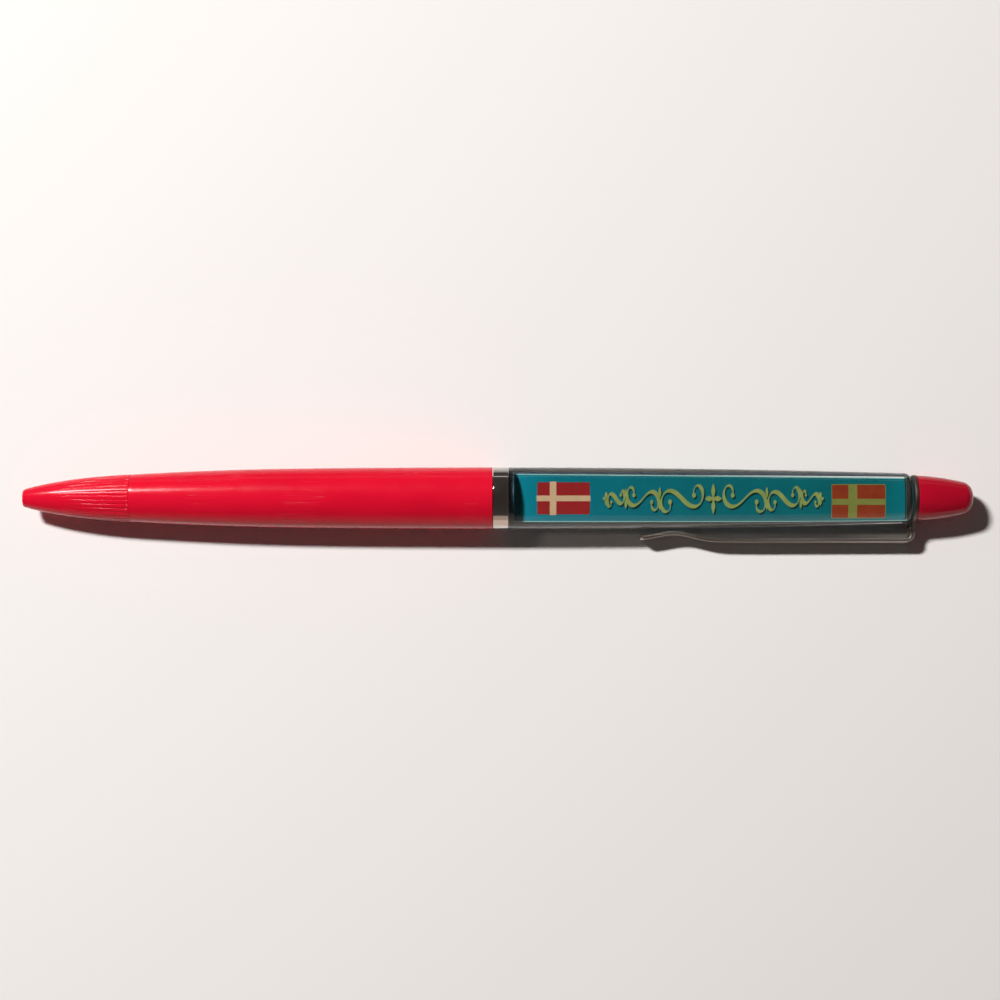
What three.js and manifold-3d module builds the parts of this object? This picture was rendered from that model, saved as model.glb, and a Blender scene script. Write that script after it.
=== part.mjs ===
// Twist-action floaty pen: a red lower barrel with a ribbed nose, and a clear oil-filled upper half that
// holds printed films and a drifting float. Turning the upper half pushes the refill out.
// Millimetres, +Z up. The pen lies along X with its nose towards -X and its clip towards -Y.
// The origin is under the middle of the pen's box, on the surface that it lies on.
import * as THREE from 'three';
import { mergeVertices } from 'three/addons/utils/BufferGeometryUtils.js';
import Module from 'manifold-3d';

// Outer shape, from the nose to the cap
const noseLength = 16.0;
const noseTipRadius = 1.23;
const noseSeamRadius = 3.63;
const noseShoulderFromTip = 5.9;
const noseShoulderRadius = 3.13;
const barrelLength = 56.1;
const barrelRadius = 4.77;
const barrelFrontRise = 0.055;
const barrelRearRise = 0.003;
const barrelFrontHandle = 16.0;
const barrelRearHandle = 32.0;
const ringLength = 2.3;
const ringRadius = 4.76;
const ringWall = 0.6;
const tubeLength = 62.0;
const tubeFrontRadius = 4.74;
const tubeRearRadius = 3.86;
const tubeShoulderRound = 0.6;
const capLength = 8.65;
const capFrontRadius = 3.5;
const capRearRadius = 2.45;
const capEndFlatRadius = 1.0;
const capRoundLength = 1.25;
const capSideBulge = 0.38;
const capRoundSetBack = 0.25;
const capRoundRadius = 2.05;

// Ribs of the nose
const ribCount = 32;
const ribLength = 7.6;
const ribDepth = 0.14;
const ribRearMargin = 0.25;

// Clearances
const seamGap = 0.1;
const turningGap = 0.1;
const seatGap = 0.05;
const fitGap = 0.1;
const slidingGap = 0.15;

// Refill and its travel
const refillStroke = 4.8;
const ballInset = 1.8;
const ballRadius = 0.4;
const ballSocketGap = 0.05;
const ballShow = 0.25;
const pointLength = 5.0;
const pointFrontRadius = 0.5;
const pointRearRadius = 0.75;
const tipBodyLength = 4.2;
const tipBodyRadius = 1.15;
const tipSpigotLength = 2.0;
const inkTubeRadius = 1.2;
const inkTubeWall = 0.3;
const inkChannelRadius = 0.25;
const stopperLength = 1.8;
const collarFromTube = 5.9;
const collarLength = 1.0;
const collarRadius = 1.9;

// Inside of the nose
const mouthRadius = 0.85;
const mouthLength = 1.5;
const throatRadius = 1.35;
const throatLength = 5.5;
const springBoreRadius = 2.2;
const spigotLength = 6.0;
const spigotRadius = 2.6;

// Return spring
const springWireRadius = 0.16;
const springCoilRadius = 1.7;
const springTurns = 7;
const springEndGap = 0.12;

// Twist mechanism in the rear of the barrel
const barrelMainBoreRadius = 2.9;
const barrelRearBoreRadius = 3.55;
const guideLength = 13.4;
const guideFlangeLength = 1.6;
const guideBoreRadius = 2.0;
const guideWall = 0.6;
const guideRearFromBarrelEnd = 4.2;
const slotLength = 8.2;
const lugWidth = 1.0;
const lugLength = 1.0;
const lugReach = 3.3;
const lugFromRodEnd = 0.6;
const rodLength = 8.4;
const rodRadius = 1.85;
const rodSocketDepth = 4.0;
const rodInset = 0.3;
const camWall = 0.65;
const camRearFromBarrelEnd = 0.2;
const camClearance = 0.4;
const camTurnDegrees = 180;
const camLeadDegrees = 14;
const camReturnDegrees = 40;
const retainingRingWidth = 0.6;
const retainingRingInner = 3.15;
const retainingRingOuter = 3.75;
const retainingRingFromBarrelEnd = 1.9;
const retainingRingOpeningDegrees = 30;

// Tube bore, its plug and the films
const boreFrontRadius = 3.5;
const boreRearRadius = 2.75;
const tubeEndWall = 0.65;
const plugVisibleLength = 0.85;
const plugNeckRadius = 2.65;
const plugNeckLength = 3.2;
const sealWireRadius = 0.2;
const sealFromPlugFront = 1.6;
const filmThickness = 0.2;
const backingThickness = 0.6;
const laminateGap = 0.02;
const filmFrontHalfWidth = 2.7;
const filmRearHalfWidth = 2.5;
const filmInPlug = 0.6;
const stopLength = 0.6;
const filmInStop = 0.35;
const foregroundHalfWidth = 1.6;
const foregroundThickness = 0.15;
const foregroundDepth = 1.8;

// Float
const floatLength = 12.0;
const floatHeight = 3.0;
const floatThickness = 0.4;
const floatDepth = 1.1;
const floatFromTubeFront = 22.0;

// Pocket clip
const clipThickness = 0.6;
const clipWidth = 3.3;
const clipFloorGap = 0.1;
const clipWasherRadius = 3.55;
const clipOffset = 6.75;
const clipHumpOffset = 5.3;
const clipTipOffset = 6.2;
const clipTipFromWasher = 42.0;
const clipHumpFromWasher = 36.6;
const clipKneeFromWasher = 31.4;
const clipBendRadius = 1.0;
const clipHumpRadius = 1.6;
const clipArmTopRise = 0.7;
const clipArmRootDrop = 3.0;
const clipArmRootOffset = 1.3;
const studRadius = 1.6;
const studLength = 5.85;

// Facets of the round pieces
const outerSides = 32;
const innerSides = 24;
const sealSides = 8;
const springSides = 5;
const curveSteps = 10;

// Stations along the pen, counted from the nose's mouth
const barrelStart = noseLength + seamGap;
const barrelEnd = barrelStart + barrelLength;
const ringStart = barrelEnd + turningGap;
const ringEnd = ringStart + ringLength;
const tubeStart = ringEnd + seatGap;
const tubeEnd = tubeStart + tubeLength;
const washerStart = tubeEnd + seatGap;
const washerEnd = washerStart + clipThickness;
const capStart = washerEnd + seatGap;
const capEnd = capStart + capLength;
const tubeBoreEnd = tubeEnd - tubeEndWall;
const plugEnd = tubeStart + plugVisibleLength;
const clipOuterFace = clipOffset + clipThickness / 2;

const wasm = await Module();
wasm.setup();

const pen = new THREE.Group();
pen.position.set(-capEnd / 2, (clipOuterFace - barrelRadius) / 2, barrelRadius);

const finish = (color, roughness, metalness, opacity = 1) =>
  new THREE.MeshStandardMaterial({ color, roughness, metalness, opacity, transparent: opacity < 1 });
const redPlastic = finish(0xdd2340, 0.35, 0);
const chrome = finish(0xd0d0d2, 0.08, 1);
const clearPlastic = finish(0xe4eeec, 0.05, 0, 0.3);
const clearFilm = finish(0xeef4f4, 0.1, 0, 0.3);
const tealPrint = finish(0x076e78, 0.4, 0);
const whiteCore = finish(0xf0eee8, 0.5, 0);
const scenePrint = finish(0x6fa9cf, 0.4, 0);
const boatPrint = finish(0xe9e5da, 0.4, 0);
const naturalPlastic = finish(0xe8e2d2, 0.45, 0);
const springSteel = finish(0xb4b5b8, 0.25, 1);
const brass = finish(0xc9a350, 0.25, 1);
const carbide = finish(0x8f9296, 0.2, 1);
const rubber = finish(0x22211f, 0.8, 0);

function add(name, geometry, material) {
  const mesh = new THREE.Mesh(geometry, material);
  mesh.name = name;
  pen.add(mesh);
}

// A closed profile of [station, radius] points turned about the pen's axis. The flats of the facets lie on
// the given radii, with one flat facing straight down. The profile runs along the outside towards the nose.
function turned(profile, sides) {
  const toCorner = 1 / Math.cos(Math.PI / sides);
  const points = profile.map(([station, radius]) => new THREE.Vector2(radius * toCorner, station));
  const geometry = new THREE.LatheGeometry(points, sides, Math.PI / sides);
  return geometry.rotateZ(-Math.PI / 2);
}

function ringProfile(start, end, innerRadius, outerRadius) {
  return [
    [start, innerRadius],
    [start, outerRadius],
    [end, outerRadius],
    [end, innerRadius],
    [start, innerRadius],
  ];
}

function sampled(curve, steps) {
  return curve.getPoints(steps).map((point) => [point.x, point.y]);
}

function extruded(outline, depth) {
  return new THREE.ExtrudeGeometry(outline, { depth, bevelEnabled: false, curveSegments: innerSides });
}

// A flat outline in the plane across the pen (first axis Y, second axis Z), given a length along the pen
function acrossPen(outline, start, length) {
  const geometry = extruded(outline, length);
  geometry.applyMatrix4(new THREE.Matrix4().set(0, 0, 1, start, 1, 0, 0, 0, 0, 1, 0, 0, 0, 0, 0, 1));
  return geometry;
}

// A flat outline in plan (station, Y), given a height from low to high
function inPlan(outline, low, high) {
  return extruded(outline, high - low).translate(0, 0, low);
}

function block(start, end, left, right, low, high) {
  const geometry = new THREE.BoxGeometry(end - start, right - left, high - low);
  return geometry.translate((start + end) / 2, (left + right) / 2, (low + high) / 2);
}

function polygon(points) {
  return new THREE.Shape(points.map(([x, y]) => new THREE.Vector2(x, y)));
}

function solid(geometry) {
  const bare = geometry.clone();
  bare.deleteAttribute('normal');
  bare.deleteAttribute('uv');
  const merged = mergeVertices(bare);
  return new wasm.Manifold(new wasm.Mesh({
    numProp: 3,
    vertProperties: new Float32Array(merged.attributes.position.array),
    triVerts: new Uint32Array(merged.index.array),
  }));
}

function surface(body) {
  const mesh = body.getMesh();
  const geometry = new THREE.BufferGeometry();
  geometry.setAttribute('position', new THREE.BufferAttribute(mesh.vertProperties, 3));
  geometry.setIndex(new THREE.BufferAttribute(mesh.triVerts, 1));
  geometry.computeVertexNormals();
  return geometry;
}

const joined = (...parts) => parts.map(solid).reduce((whole, next) => whole.add(next));
const cut = (body, ...tools) => tools.map(solid).reduce((whole, next) => whole.subtract(next), body);

function noseOutline() {
  return sampled(new THREE.QuadraticBezierCurve(
    new THREE.Vector2(0, noseTipRadius),
    new THREE.Vector2(noseShoulderFromTip, noseShoulderRadius),
    new THREE.Vector2(noseLength, noseSeamRadius),
  ), curveSteps);
}

// Every second meridian of the nose sinks into a groove, which runs out towards the tip
function makeNose() {
  const boreEnd = noseLength + spigotLength;
  const profile = [
    [0, mouthRadius],
    ...noseOutline(),
    [noseLength, spigotRadius],
    [boreEnd, spigotRadius],
    [boreEnd, springBoreRadius],
    [mouthLength + throatLength, springBoreRadius],
    [mouthLength + throatLength, throatRadius],
    [mouthLength, throatRadius],
    [mouthLength, mouthRadius],
    [0, mouthRadius],
  ];
  const geometry = turned(profile, 2 * ribCount);
  const position = geometry.attributes.position;
  const grooveStart = noseLength - ribRearMargin - ribLength;
  for (let i = 0; i < position.count; i++) {
    const meridian = Math.floor(i / profile.length) % (2 * ribCount);
    const index = i % profile.length;
    const onOutline = index > 0 && index <= curveSteps + 1;
    if (meridian % 2 === 1 && onOutline) {
      const along = THREE.MathUtils.clamp((position.getX(i) - grooveStart) / ribLength, 0, 1);
      const radius = Math.hypot(position.getY(i), position.getZ(i));
      const scale = (radius - ribDepth * Math.sqrt(along)) / radius;
      position.setY(i, position.getY(i) * scale);
      position.setZ(i, position.getZ(i) * scale);
    }
  }
  add('nose_cone', geometry, redPlastic);
}

function makeBarrel() {
  const outline = sampled(new THREE.CubicBezierCurve(
    new THREE.Vector2(barrelStart, noseSeamRadius),
    new THREE.Vector2(barrelStart + barrelFrontHandle, noseSeamRadius + barrelFrontHandle * barrelFrontRise),
    new THREE.Vector2(barrelEnd - barrelRearHandle, barrelRadius - barrelRearHandle * barrelRearRise),
    new THREE.Vector2(barrelEnd, barrelRadius),
  ), curveSteps);
  const threadEnd = noseLength + spigotLength + seamGap;
  const rearBoreStart = guideStart - fitGap;
  const grooveEnd = barrelEnd - retainingRingFromBarrelEnd + fitGap;
  const grooveStart = grooveEnd - retainingRingWidth - 2 * fitGap;
  const grooveRadius = retainingRingOuter + fitGap;
  add('barrel', turned([
    [barrelStart, spigotRadius + fitGap],
    ...outline,
    [barrelEnd, barrelRearBoreRadius],
    [grooveEnd, barrelRearBoreRadius],
    [grooveEnd, grooveRadius],
    [grooveStart, grooveRadius],
    [grooveStart, barrelRearBoreRadius],
    [rearBoreStart, barrelRearBoreRadius],
    [rearBoreStart, barrelMainBoreRadius],
    [threadEnd, barrelMainBoreRadius],
    [threadEnd, spigotRadius + fitGap],
    [barrelStart, spigotRadius + fitGap],
  ], outerSides), redPlastic);
}

// Stations of the twist mechanism at rest
const guideEnd = barrelEnd - guideRearFromBarrelEnd;
const guideStart = guideEnd - guideLength;
const guideOuterRadius = guideBoreRadius + guideWall;
const rodEnd = guideEnd - rodInset;
const rodStart = rodEnd - rodLength;
const rodSocketFloor = rodStart + rodSocketDepth;
const lugEnd = rodEnd - lugFromRodEnd;
const camInnerRadius = guideOuterRadius + slidingGap;
const camOuterRadius = camInnerRadius + camWall;
const camRear = barrelEnd - camRearFromBarrelEnd;

// Stations of the refill, from the ball back to the push rod's socket
const ballCentre = ballInset + ballRadius;
const pointStart = ballCentre - ballRadius + ballShow;
const pointEnd = pointStart + pointLength;
const tipShoulderEnd = pointEnd + tipBodyRadius - pointRearRadius;
const inkTubeStart = tipShoulderEnd + tipBodyLength;
const inkTubeEnd = rodSocketFloor - seatGap;
const collarStart = inkTubeStart + collarFromTube;
const inkBoreRadius = inkTubeRadius - inkTubeWall;

function makeRefill() {
  const socketRadius = ballRadius + ballSocketGap;
  const lip = ballRadius - ballShow;
  const lipRadius = Math.sqrt(socketRadius ** 2 - lip ** 2);
  const socketFloor = ballCentre + Math.sqrt(socketRadius ** 2 - inkChannelRadius ** 2);
  const spigotEnd = inkTubeStart + tipSpigotLength;
  const spigotFit = inkBoreRadius - seatGap;
  add('refill_tip', turned([
    [pointStart, lipRadius],
    [pointStart, pointFrontRadius],
    [pointEnd, pointRearRadius],
    [tipShoulderEnd, tipBodyRadius],
    [inkTubeStart - seatGap, tipBodyRadius],
    [inkTubeStart - seatGap, spigotFit],
    [spigotEnd, spigotFit],
    [spigotEnd, inkChannelRadius],
    [socketFloor, inkChannelRadius],
    [ballCentre, socketRadius],
    [pointStart, lipRadius],
  ], innerSides), brass);
  add('tip_ball', new THREE.SphereGeometry(ballRadius, 16, 10).translate(ballCentre, 0, 0), carbide);
  add('refill_tube', turned([
    [inkTubeStart, inkBoreRadius],
    [inkTubeStart, inkTubeRadius],
    [collarStart, inkTubeRadius],
    [collarStart, collarRadius],
    [collarStart + collarLength, collarRadius],
    [collarStart + collarLength, inkTubeRadius],
    [inkTubeEnd, inkTubeRadius],
    [inkTubeEnd, inkBoreRadius],
    [inkTubeStart, inkBoreRadius],
  ], innerSides), naturalPlastic);
  const stopperEnd = inkTubeEnd - seatGap;
  add('refill_plug', turned([
    [stopperEnd - stopperLength, 0],
    [stopperEnd - stopperLength, inkBoreRadius - seatGap],
    [stopperEnd, inkBoreRadius - seatGap],
    [stopperEnd, 0],
  ], innerSides), redPlastic);
}

// The spring stands between the step in the nose and the collar on the ink tube
class SpringPath extends THREE.Curve {
  constructor(start, end, radius, turns) {
    super();
    Object.assign(this, { start, end, radius, turns });
  }
  getPoint(t, target = new THREE.Vector3()) {
    const angle = 2 * Math.PI * this.turns * t;
    const station = this.start + (this.end - this.start) * t;
    return target.set(station, this.radius * Math.cos(angle), this.radius * Math.sin(angle));
  }
}

function makeSpring() {
  const start = mouthLength + throatLength + springEndGap + springWireRadius;
  const end = collarStart - springEndGap - springWireRadius;
  const wire = polygon(Array.from({ length: springSides }, (_, i) => {
    const angle = 2 * Math.PI * i / springSides;
    return [springWireRadius * Math.cos(angle), springWireRadius * Math.sin(angle)];
  }));
  add('refill_spring', new THREE.ExtrudeGeometry(wire, {
    steps: springTurns * 10,
    extrudePath: new SpringPath(start, end, springCoilRadius, springTurns),
  }), springSteel);
}

function makeGuideAndRod() {
  const guide = turned([
    [guideStart, guideBoreRadius],
    [guideStart, barrelRearBoreRadius - fitGap],
    [guideStart + guideFlangeLength, barrelRearBoreRadius - fitGap],
    [guideStart + guideFlangeLength, guideOuterRadius],
    [guideEnd, guideOuterRadius],
    [guideEnd, guideBoreRadius],
    [guideStart, guideBoreRadius],
  ], innerSides);
  const halfSlot = lugWidth / 2 + slidingGap;
  const slot = block(guideEnd - slotLength, guideEnd + 1, -halfSlot, halfSlot, 0, camOuterRadius);
  add('guide_sleeve', surface(cut(solid(guide), slot)), naturalPlastic);

  const rod = turned([
    [rodSocketFloor, 0],
    [rodSocketFloor, inkTubeRadius + fitGap],
    [rodStart, inkTubeRadius + fitGap],
    [rodStart, rodRadius],
    [rodEnd, rodRadius],
    [rodEnd, 0],
  ], innerSides);
  const lug = block(lugEnd - lugLength, lugEnd, -lugWidth / 2, lugWidth / 2, rodRadius / 2, lugReach);
  add('push_rod', surface(joined(rod, lug)), naturalPlastic);
}

// How far the cam's front edge stands forward of its rest place, for an angle on the cam past the lug
function camLift(degrees) {
  const past = THREE.MathUtils.euclideanModulo(degrees + camLeadDegrees, 360) - camLeadDegrees;
  const returnStart = 360 - camLeadDegrees - camReturnDegrees;
  if (past > returnStart) {
    return refillStroke * (1 - (past - returnStart) / camReturnDegrees);
  }
  return refillStroke * THREE.MathUtils.clamp(past / camTurnDegrees, 0, 1);
}

function makeCam() {
  const front = lugEnd + camClearance;
  const grooveEnd = barrelEnd - retainingRingFromBarrelEnd + fitGap;
  const grooveStart = grooveEnd - retainingRingWidth - 2 * fitGap;
  const grooveRadius = retainingRingInner - fitGap;
  const geometry = turned([
    [front, camInnerRadius],
    [front, camOuterRadius],
    [grooveStart, camOuterRadius],
    [grooveStart, grooveRadius],
    [grooveEnd, grooveRadius],
    [grooveEnd, camOuterRadius],
    [camRear, camOuterRadius],
    [camRear, camInnerRadius],
    [front, camInnerRadius],
  ], 2 * innerSides);
  const position = geometry.attributes.position;
  for (let i = 0; i < position.count; i++) {
    if (Math.abs(position.getX(i) - front) < seatGap) {
      const fromTop = THREE.MathUtils.radToDeg(Math.atan2(-position.getY(i), position.getZ(i)));
      position.setX(i, front - camLift(fromTop));
    }
  }
  add('cam_sleeve', geometry, naturalPlastic);
}

function makeRetainingRing() {
  const gap = THREE.MathUtils.degToRad(retainingRingOpeningDegrees);
  const outline = new THREE.Shape();
  outline.absarc(0, 0, retainingRingOuter, gap / 2, 2 * Math.PI - gap / 2, false);
  outline.absarc(0, 0, retainingRingInner, 2 * Math.PI - gap / 2, gap / 2, true);
  const start = barrelEnd - retainingRingFromBarrelEnd - retainingRingWidth;
  add('retaining_ring', acrossPen(outline, start, retainingRingWidth), springSteel);
}

function makeCentreRing() {
  const profile = ringProfile(ringStart, ringEnd, ringRadius - ringWall, ringRadius);
  add('centre_ring', turned(profile, outerSides), chrome);
}

const boreRadiusAt = (station) =>
  THREE.MathUtils.mapLinear(station, tubeStart, tubeBoreEnd, boreFrontRadius, boreRearRadius);

// The tube's outside is one shallow arc, falling from the ring to the rounded rear shoulder
function makeTube() {
  const shoulderStart = tubeEnd - tubeShoulderRound;
  const fall = tubeFrontRadius - tubeRearRadius;
  const outside = [];
  for (let i = 0; i <= curveSteps; i++) {
    const share = i / curveSteps;
    const station = THREE.MathUtils.lerp(tubeStart, shoulderStart, share);
    outside.push([station, tubeFrontRadius - fall * share ** 2]);
  }
  const shoulder = [];
  for (let i = 1; i <= 4; i++) {
    const angle = i / 4 * Math.PI / 2;
    shoulder.push([
      shoulderStart + tubeShoulderRound * Math.sin(angle),
      tubeRearRadius - tubeShoulderRound * (1 - Math.cos(angle)),
    ]);
  }
  const spigotStart = ringStart + seatGap;
  add('viewing_tube', turned([
    [tubeBoreEnd, 0],
    [tubeBoreEnd, boreRearRadius],
    [tubeStart, boreFrontRadius],
    [spigotStart, boreFrontRadius],
    [spigotStart, ringRadius - ringWall - fitGap],
    [tubeStart, ringRadius - ringWall - fitGap],
    ...outside,
    ...shoulder,
    [tubeEnd, studRadius],
    [tubeEnd + studLength, studRadius],
    [tubeEnd + studLength, 0],
  ], outerSides), clearPlastic);
}

const stackHalf = backingThickness / 2 + laminateGap + filmThickness;

// Room for the film stack and for the foreground film in the face of a holder
function filmSlots(start, end) {
  const stackWidth = filmFrontHalfWidth + fitGap;
  const stackHeight = stackHalf + seatGap;
  const filmWidth = foregroundHalfWidth + fitGap;
  const filmHeight = foregroundThickness / 2 + seatGap;
  return [
    block(start, end, -stackWidth, stackWidth, -stackHeight, stackHeight),
    block(start, end, -filmWidth, filmWidth, -foregroundDepth - filmHeight, -foregroundDepth + filmHeight),
  ];
}

function makePlug() {
  const bodyStart = barrelEnd - camRearFromBarrelEnd + seatGap;
  const bodyRadius = boreFrontRadius - fitGap;
  const sealMiddle = bodyStart + sealFromPlugFront;
  const sealRadius = boreFrontRadius - seatGap - sealWireRadius;
  const grooveHalf = sealWireRadius + seatGap;
  const grooveRadius = sealRadius - sealWireRadius - seatGap;
  const plug = turned([
    [bodyStart - plugNeckLength, 0],
    [bodyStart - plugNeckLength, plugNeckRadius],
    [bodyStart, plugNeckRadius],
    [bodyStart, bodyRadius],
    [sealMiddle - grooveHalf, bodyRadius],
    [sealMiddle - grooveHalf, grooveRadius],
    [sealMiddle + grooveHalf, grooveRadius],
    [sealMiddle + grooveHalf, bodyRadius],
    [plugEnd, boreRadiusAt(plugEnd) - fitGap],
    [plugEnd, 0],
  ], innerSides);
  const slots = filmSlots(plugEnd - filmInPlug - seatGap, plugEnd + 1);
  add('tube_plug', surface(cut(solid(plug), ...slots)), clearPlastic);

  const section = Array.from({ length: sealSides + 1 }, (_, i) => {
    const angle = 2 * Math.PI * i / sealSides;
    return [sealMiddle - sealWireRadius * Math.cos(angle), sealRadius + sealWireRadius * Math.sin(angle)];
  });
  add('plug_seal', turned(section, innerSides), rubber);
}

function makePanelStop() {
  const stopEnd = tubeBoreEnd - seatGap;
  const stopStart = stopEnd - stopLength;
  const disc = turned([
    [stopStart, 0],
    [stopStart, boreRearRadius - fitGap],
    [stopEnd, boreRearRadius - fitGap],
    [stopEnd, 0],
  ], innerSides);
  const slots = filmSlots(stopStart - 1, stopStart + filmInStop + seatGap);
  add('panel_stop', surface(cut(solid(disc), ...slots)), clearPlastic);
}

// The printed films narrow a little with the tube's bore
function makeFilms() {
  const start = plugEnd - filmInPlug;
  const end = tubeBoreEnd - seatGap - stopLength + filmInStop;
  const outline = polygon([
    [start, -filmFrontHalfWidth],
    [end, -filmRearHalfWidth],
    [end, filmRearHalfWidth],
    [start, filmFrontHalfWidth],
  ]);
  const core = backingThickness / 2;
  add('panel_backing', inPlan(outline, -core, core), whiteCore);
  add('title_panel', inPlan(outline, core + laminateGap, stackHalf), tealPrint);
  add('scene_panel', inPlan(outline, -stackHalf, -core - laminateGap), scenePrint);
  const low = -foregroundDepth - foregroundThickness / 2;
  const high = low + foregroundThickness;
  add('foreground_film', block(start, end, -foregroundHalfWidth, foregroundHalfWidth, low, high), clearFilm);
}

// A small coaster in side view: keel line, raked bow, deck, wheelhouse and funnel. The funnel points to -Y,
// so that the coaster is upright when the upper half has been turned round.
function makeFloat() {
  const start = tubeStart + floatFromTubeFront;
  const keel = floatHeight / 2;
  const shares = [
    [0.1, 0], [0.86, 0], [1, 0.42], [0.62, 0.36], [0.62, 0.66], [0.5, 0.66],
    [0.5, 1], [0.38, 1], [0.38, 0.66], [0.16, 0.66], [0.16, 0.36], [0, 0.36],
  ];
  const outline = polygon(shares.map(([x, y]) => [start + x * floatLength, keel - y * floatHeight]));
  const low = -floatDepth - floatThickness / 2;
  add('float_boat', inPlan(outline, low, low + floatThickness), boatPrint);
}

// Both sides of a strip of even thickness along a line of plan points with rounded corners
function stripOutline(corners, thickness) {
  const path = new THREE.CurvePath();
  let reached = corners[0].at;
  for (const { at, round } of corners.slice(1)) {
    const here = new THREE.Vector2(...at);
    const before = new THREE.Vector2(...reached);
    if (round) {
      const after = new THREE.Vector2(...round.towards);
      const start = here.clone().lerp(before, round.radius / here.distanceTo(before));
      const end = here.clone().lerp(after, round.radius / here.distanceTo(after));
      path.add(new THREE.LineCurve(before, start));
      path.add(new THREE.QuadraticBezierCurve(start, here, end));
      reached = [end.x, end.y];
    } else {
      path.add(new THREE.LineCurve(before, here));
      reached = at;
    }
  }
  const points = path.getPoints(6);
  const last = points.length - 1;
  const chords = points.slice(1).map((point, i) => point.clone().sub(points[i]).normalize());
  const sides = [[], []];
  points.forEach((point, i) => {
    const before = chords[Math.max(i - 1, 0)];
    const mitre = chords[Math.min(i, last - 1)].clone().add(before).normalize();
    const across = mitre.clone().multiplyScalar(thickness / 2 / mitre.dot(before));
    sides[0].push([point.x - across.y, point.y + across.x]);
    sides[1].push([point.x + across.y, point.y - across.x]);
  });
  return polygon([...sides[0], ...sides[1].reverse()]);
}

// One stamping: a washer on the tube's stud, an arm that slants down to the surface, and a sprung strip
// that stands upright beside the tube, with a hump near its free end
function makeClip() {
  const middle = washerStart + clipThickness / 2;
  const low = clipFloorGap - barrelRadius;
  const high = low + clipWidth;
  const bend = [middle, -clipOffset];
  const knee = [middle - clipKneeFromWasher, -clipOffset];
  const hump = [middle - clipHumpFromWasher, -clipHumpOffset];
  const tip = [middle - clipTipFromWasher, -clipTipOffset];
  const inner = [middle, -clipOffset + 2 * clipBendRadius];
  const strip = inPlan(stripOutline([
    { at: inner },
    { at: bend, round: { towards: knee, radius: clipBendRadius } },
    { at: knee, round: { towards: hump, radius: clipHumpRadius } },
    { at: hump, round: { towards: tip, radius: clipHumpRadius } },
    { at: tip },
  ], clipThickness), low, high);
  const disc = turned([
    [washerStart, 0],
    [washerStart, clipWasherRadius],
    [washerEnd, clipWasherRadius],
    [washerEnd, 0],
  ], outerSides);
  const arm = acrossPen(polygon([
    [inner[1] - clipBendRadius / 2, low],
    [-clipArmRootOffset, -clipArmRootDrop],
    [-clipArmRootDrop, clipArmTopRise],
    [inner[1] - clipBendRadius / 2, high],
  ]), washerStart, clipThickness);
  const bore = turned([
    [washerStart - 1, 0],
    [washerStart - 1, studRadius + fitGap],
    [washerEnd + 1, studRadius + fitGap],
    [washerEnd + 1, 0],
  ], innerSides);
  add('pocket_clip', surface(cut(joined(disc, arm, strip), bore)), springSteel);
}

function makeCap() {
  const roundStart = capEnd - capRoundLength;
  const side = sampled(new THREE.QuadraticBezierCurve(
    new THREE.Vector2(capStart, capFrontRadius),
    new THREE.Vector2((capStart + roundStart) / 2, (capFrontRadius + capRearRadius) / 2 + capSideBulge),
    new THREE.Vector2(roundStart, capRearRadius),
  ), 5);
  const end = sampled(new THREE.QuadraticBezierCurve(
    new THREE.Vector2(roundStart, capRearRadius),
    new THREE.Vector2(capEnd - capRoundSetBack, capRoundRadius),
    new THREE.Vector2(capEnd, capEndFlatRadius),
  ), 4).slice(1);
  const boreEnd = tubeEnd + studLength + fitGap;
  add('end_cap', turned([
    [boreEnd, 0],
    [boreEnd, studRadius + fitGap],
    [capStart, studRadius + fitGap],
    ...side,
    ...end,
    [capEnd, 0],
  ], outerSides), redPlastic);
}

makeNose();
makeBarrel();
makeRefill();
makeSpring();
makeGuideAndRod();
makeCam();
makeRetainingRing();
makeCentreRing();
makeTube();
makePlug();
makePanelStop();
makeFilms();
makeFloat();
makeClip();
makeCap();

export default pen;
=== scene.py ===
# Looks of the twist-action floaty pen: red moulded lower half, chrome band, clear oil-filled tube with
# printed films inside, steel pocket clip and red cap. Lengths of the pieces are millimetres here and become
# metres once, in build_mesh. The pen lies along X, with its nose towards -X.
import math

import bmesh
import bpy
from mathutils import Matrix, Vector


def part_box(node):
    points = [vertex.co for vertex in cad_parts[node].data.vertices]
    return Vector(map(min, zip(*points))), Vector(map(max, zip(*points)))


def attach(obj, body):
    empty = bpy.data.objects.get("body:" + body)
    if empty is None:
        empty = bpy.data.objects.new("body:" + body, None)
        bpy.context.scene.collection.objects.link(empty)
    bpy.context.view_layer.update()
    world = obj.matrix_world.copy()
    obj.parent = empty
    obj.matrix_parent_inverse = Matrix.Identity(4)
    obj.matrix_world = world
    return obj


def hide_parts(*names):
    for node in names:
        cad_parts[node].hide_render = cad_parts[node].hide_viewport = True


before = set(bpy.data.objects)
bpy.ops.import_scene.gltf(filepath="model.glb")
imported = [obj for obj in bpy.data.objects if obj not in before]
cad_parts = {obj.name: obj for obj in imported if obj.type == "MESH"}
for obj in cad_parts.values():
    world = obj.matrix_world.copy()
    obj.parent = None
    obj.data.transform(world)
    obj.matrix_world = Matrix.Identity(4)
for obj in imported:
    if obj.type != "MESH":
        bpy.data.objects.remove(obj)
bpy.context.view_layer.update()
MM = 0.001


def corners_of(node):
    """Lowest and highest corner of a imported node, in millimetres."""
    low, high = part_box(node)
    return low / MM, high / MM


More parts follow.
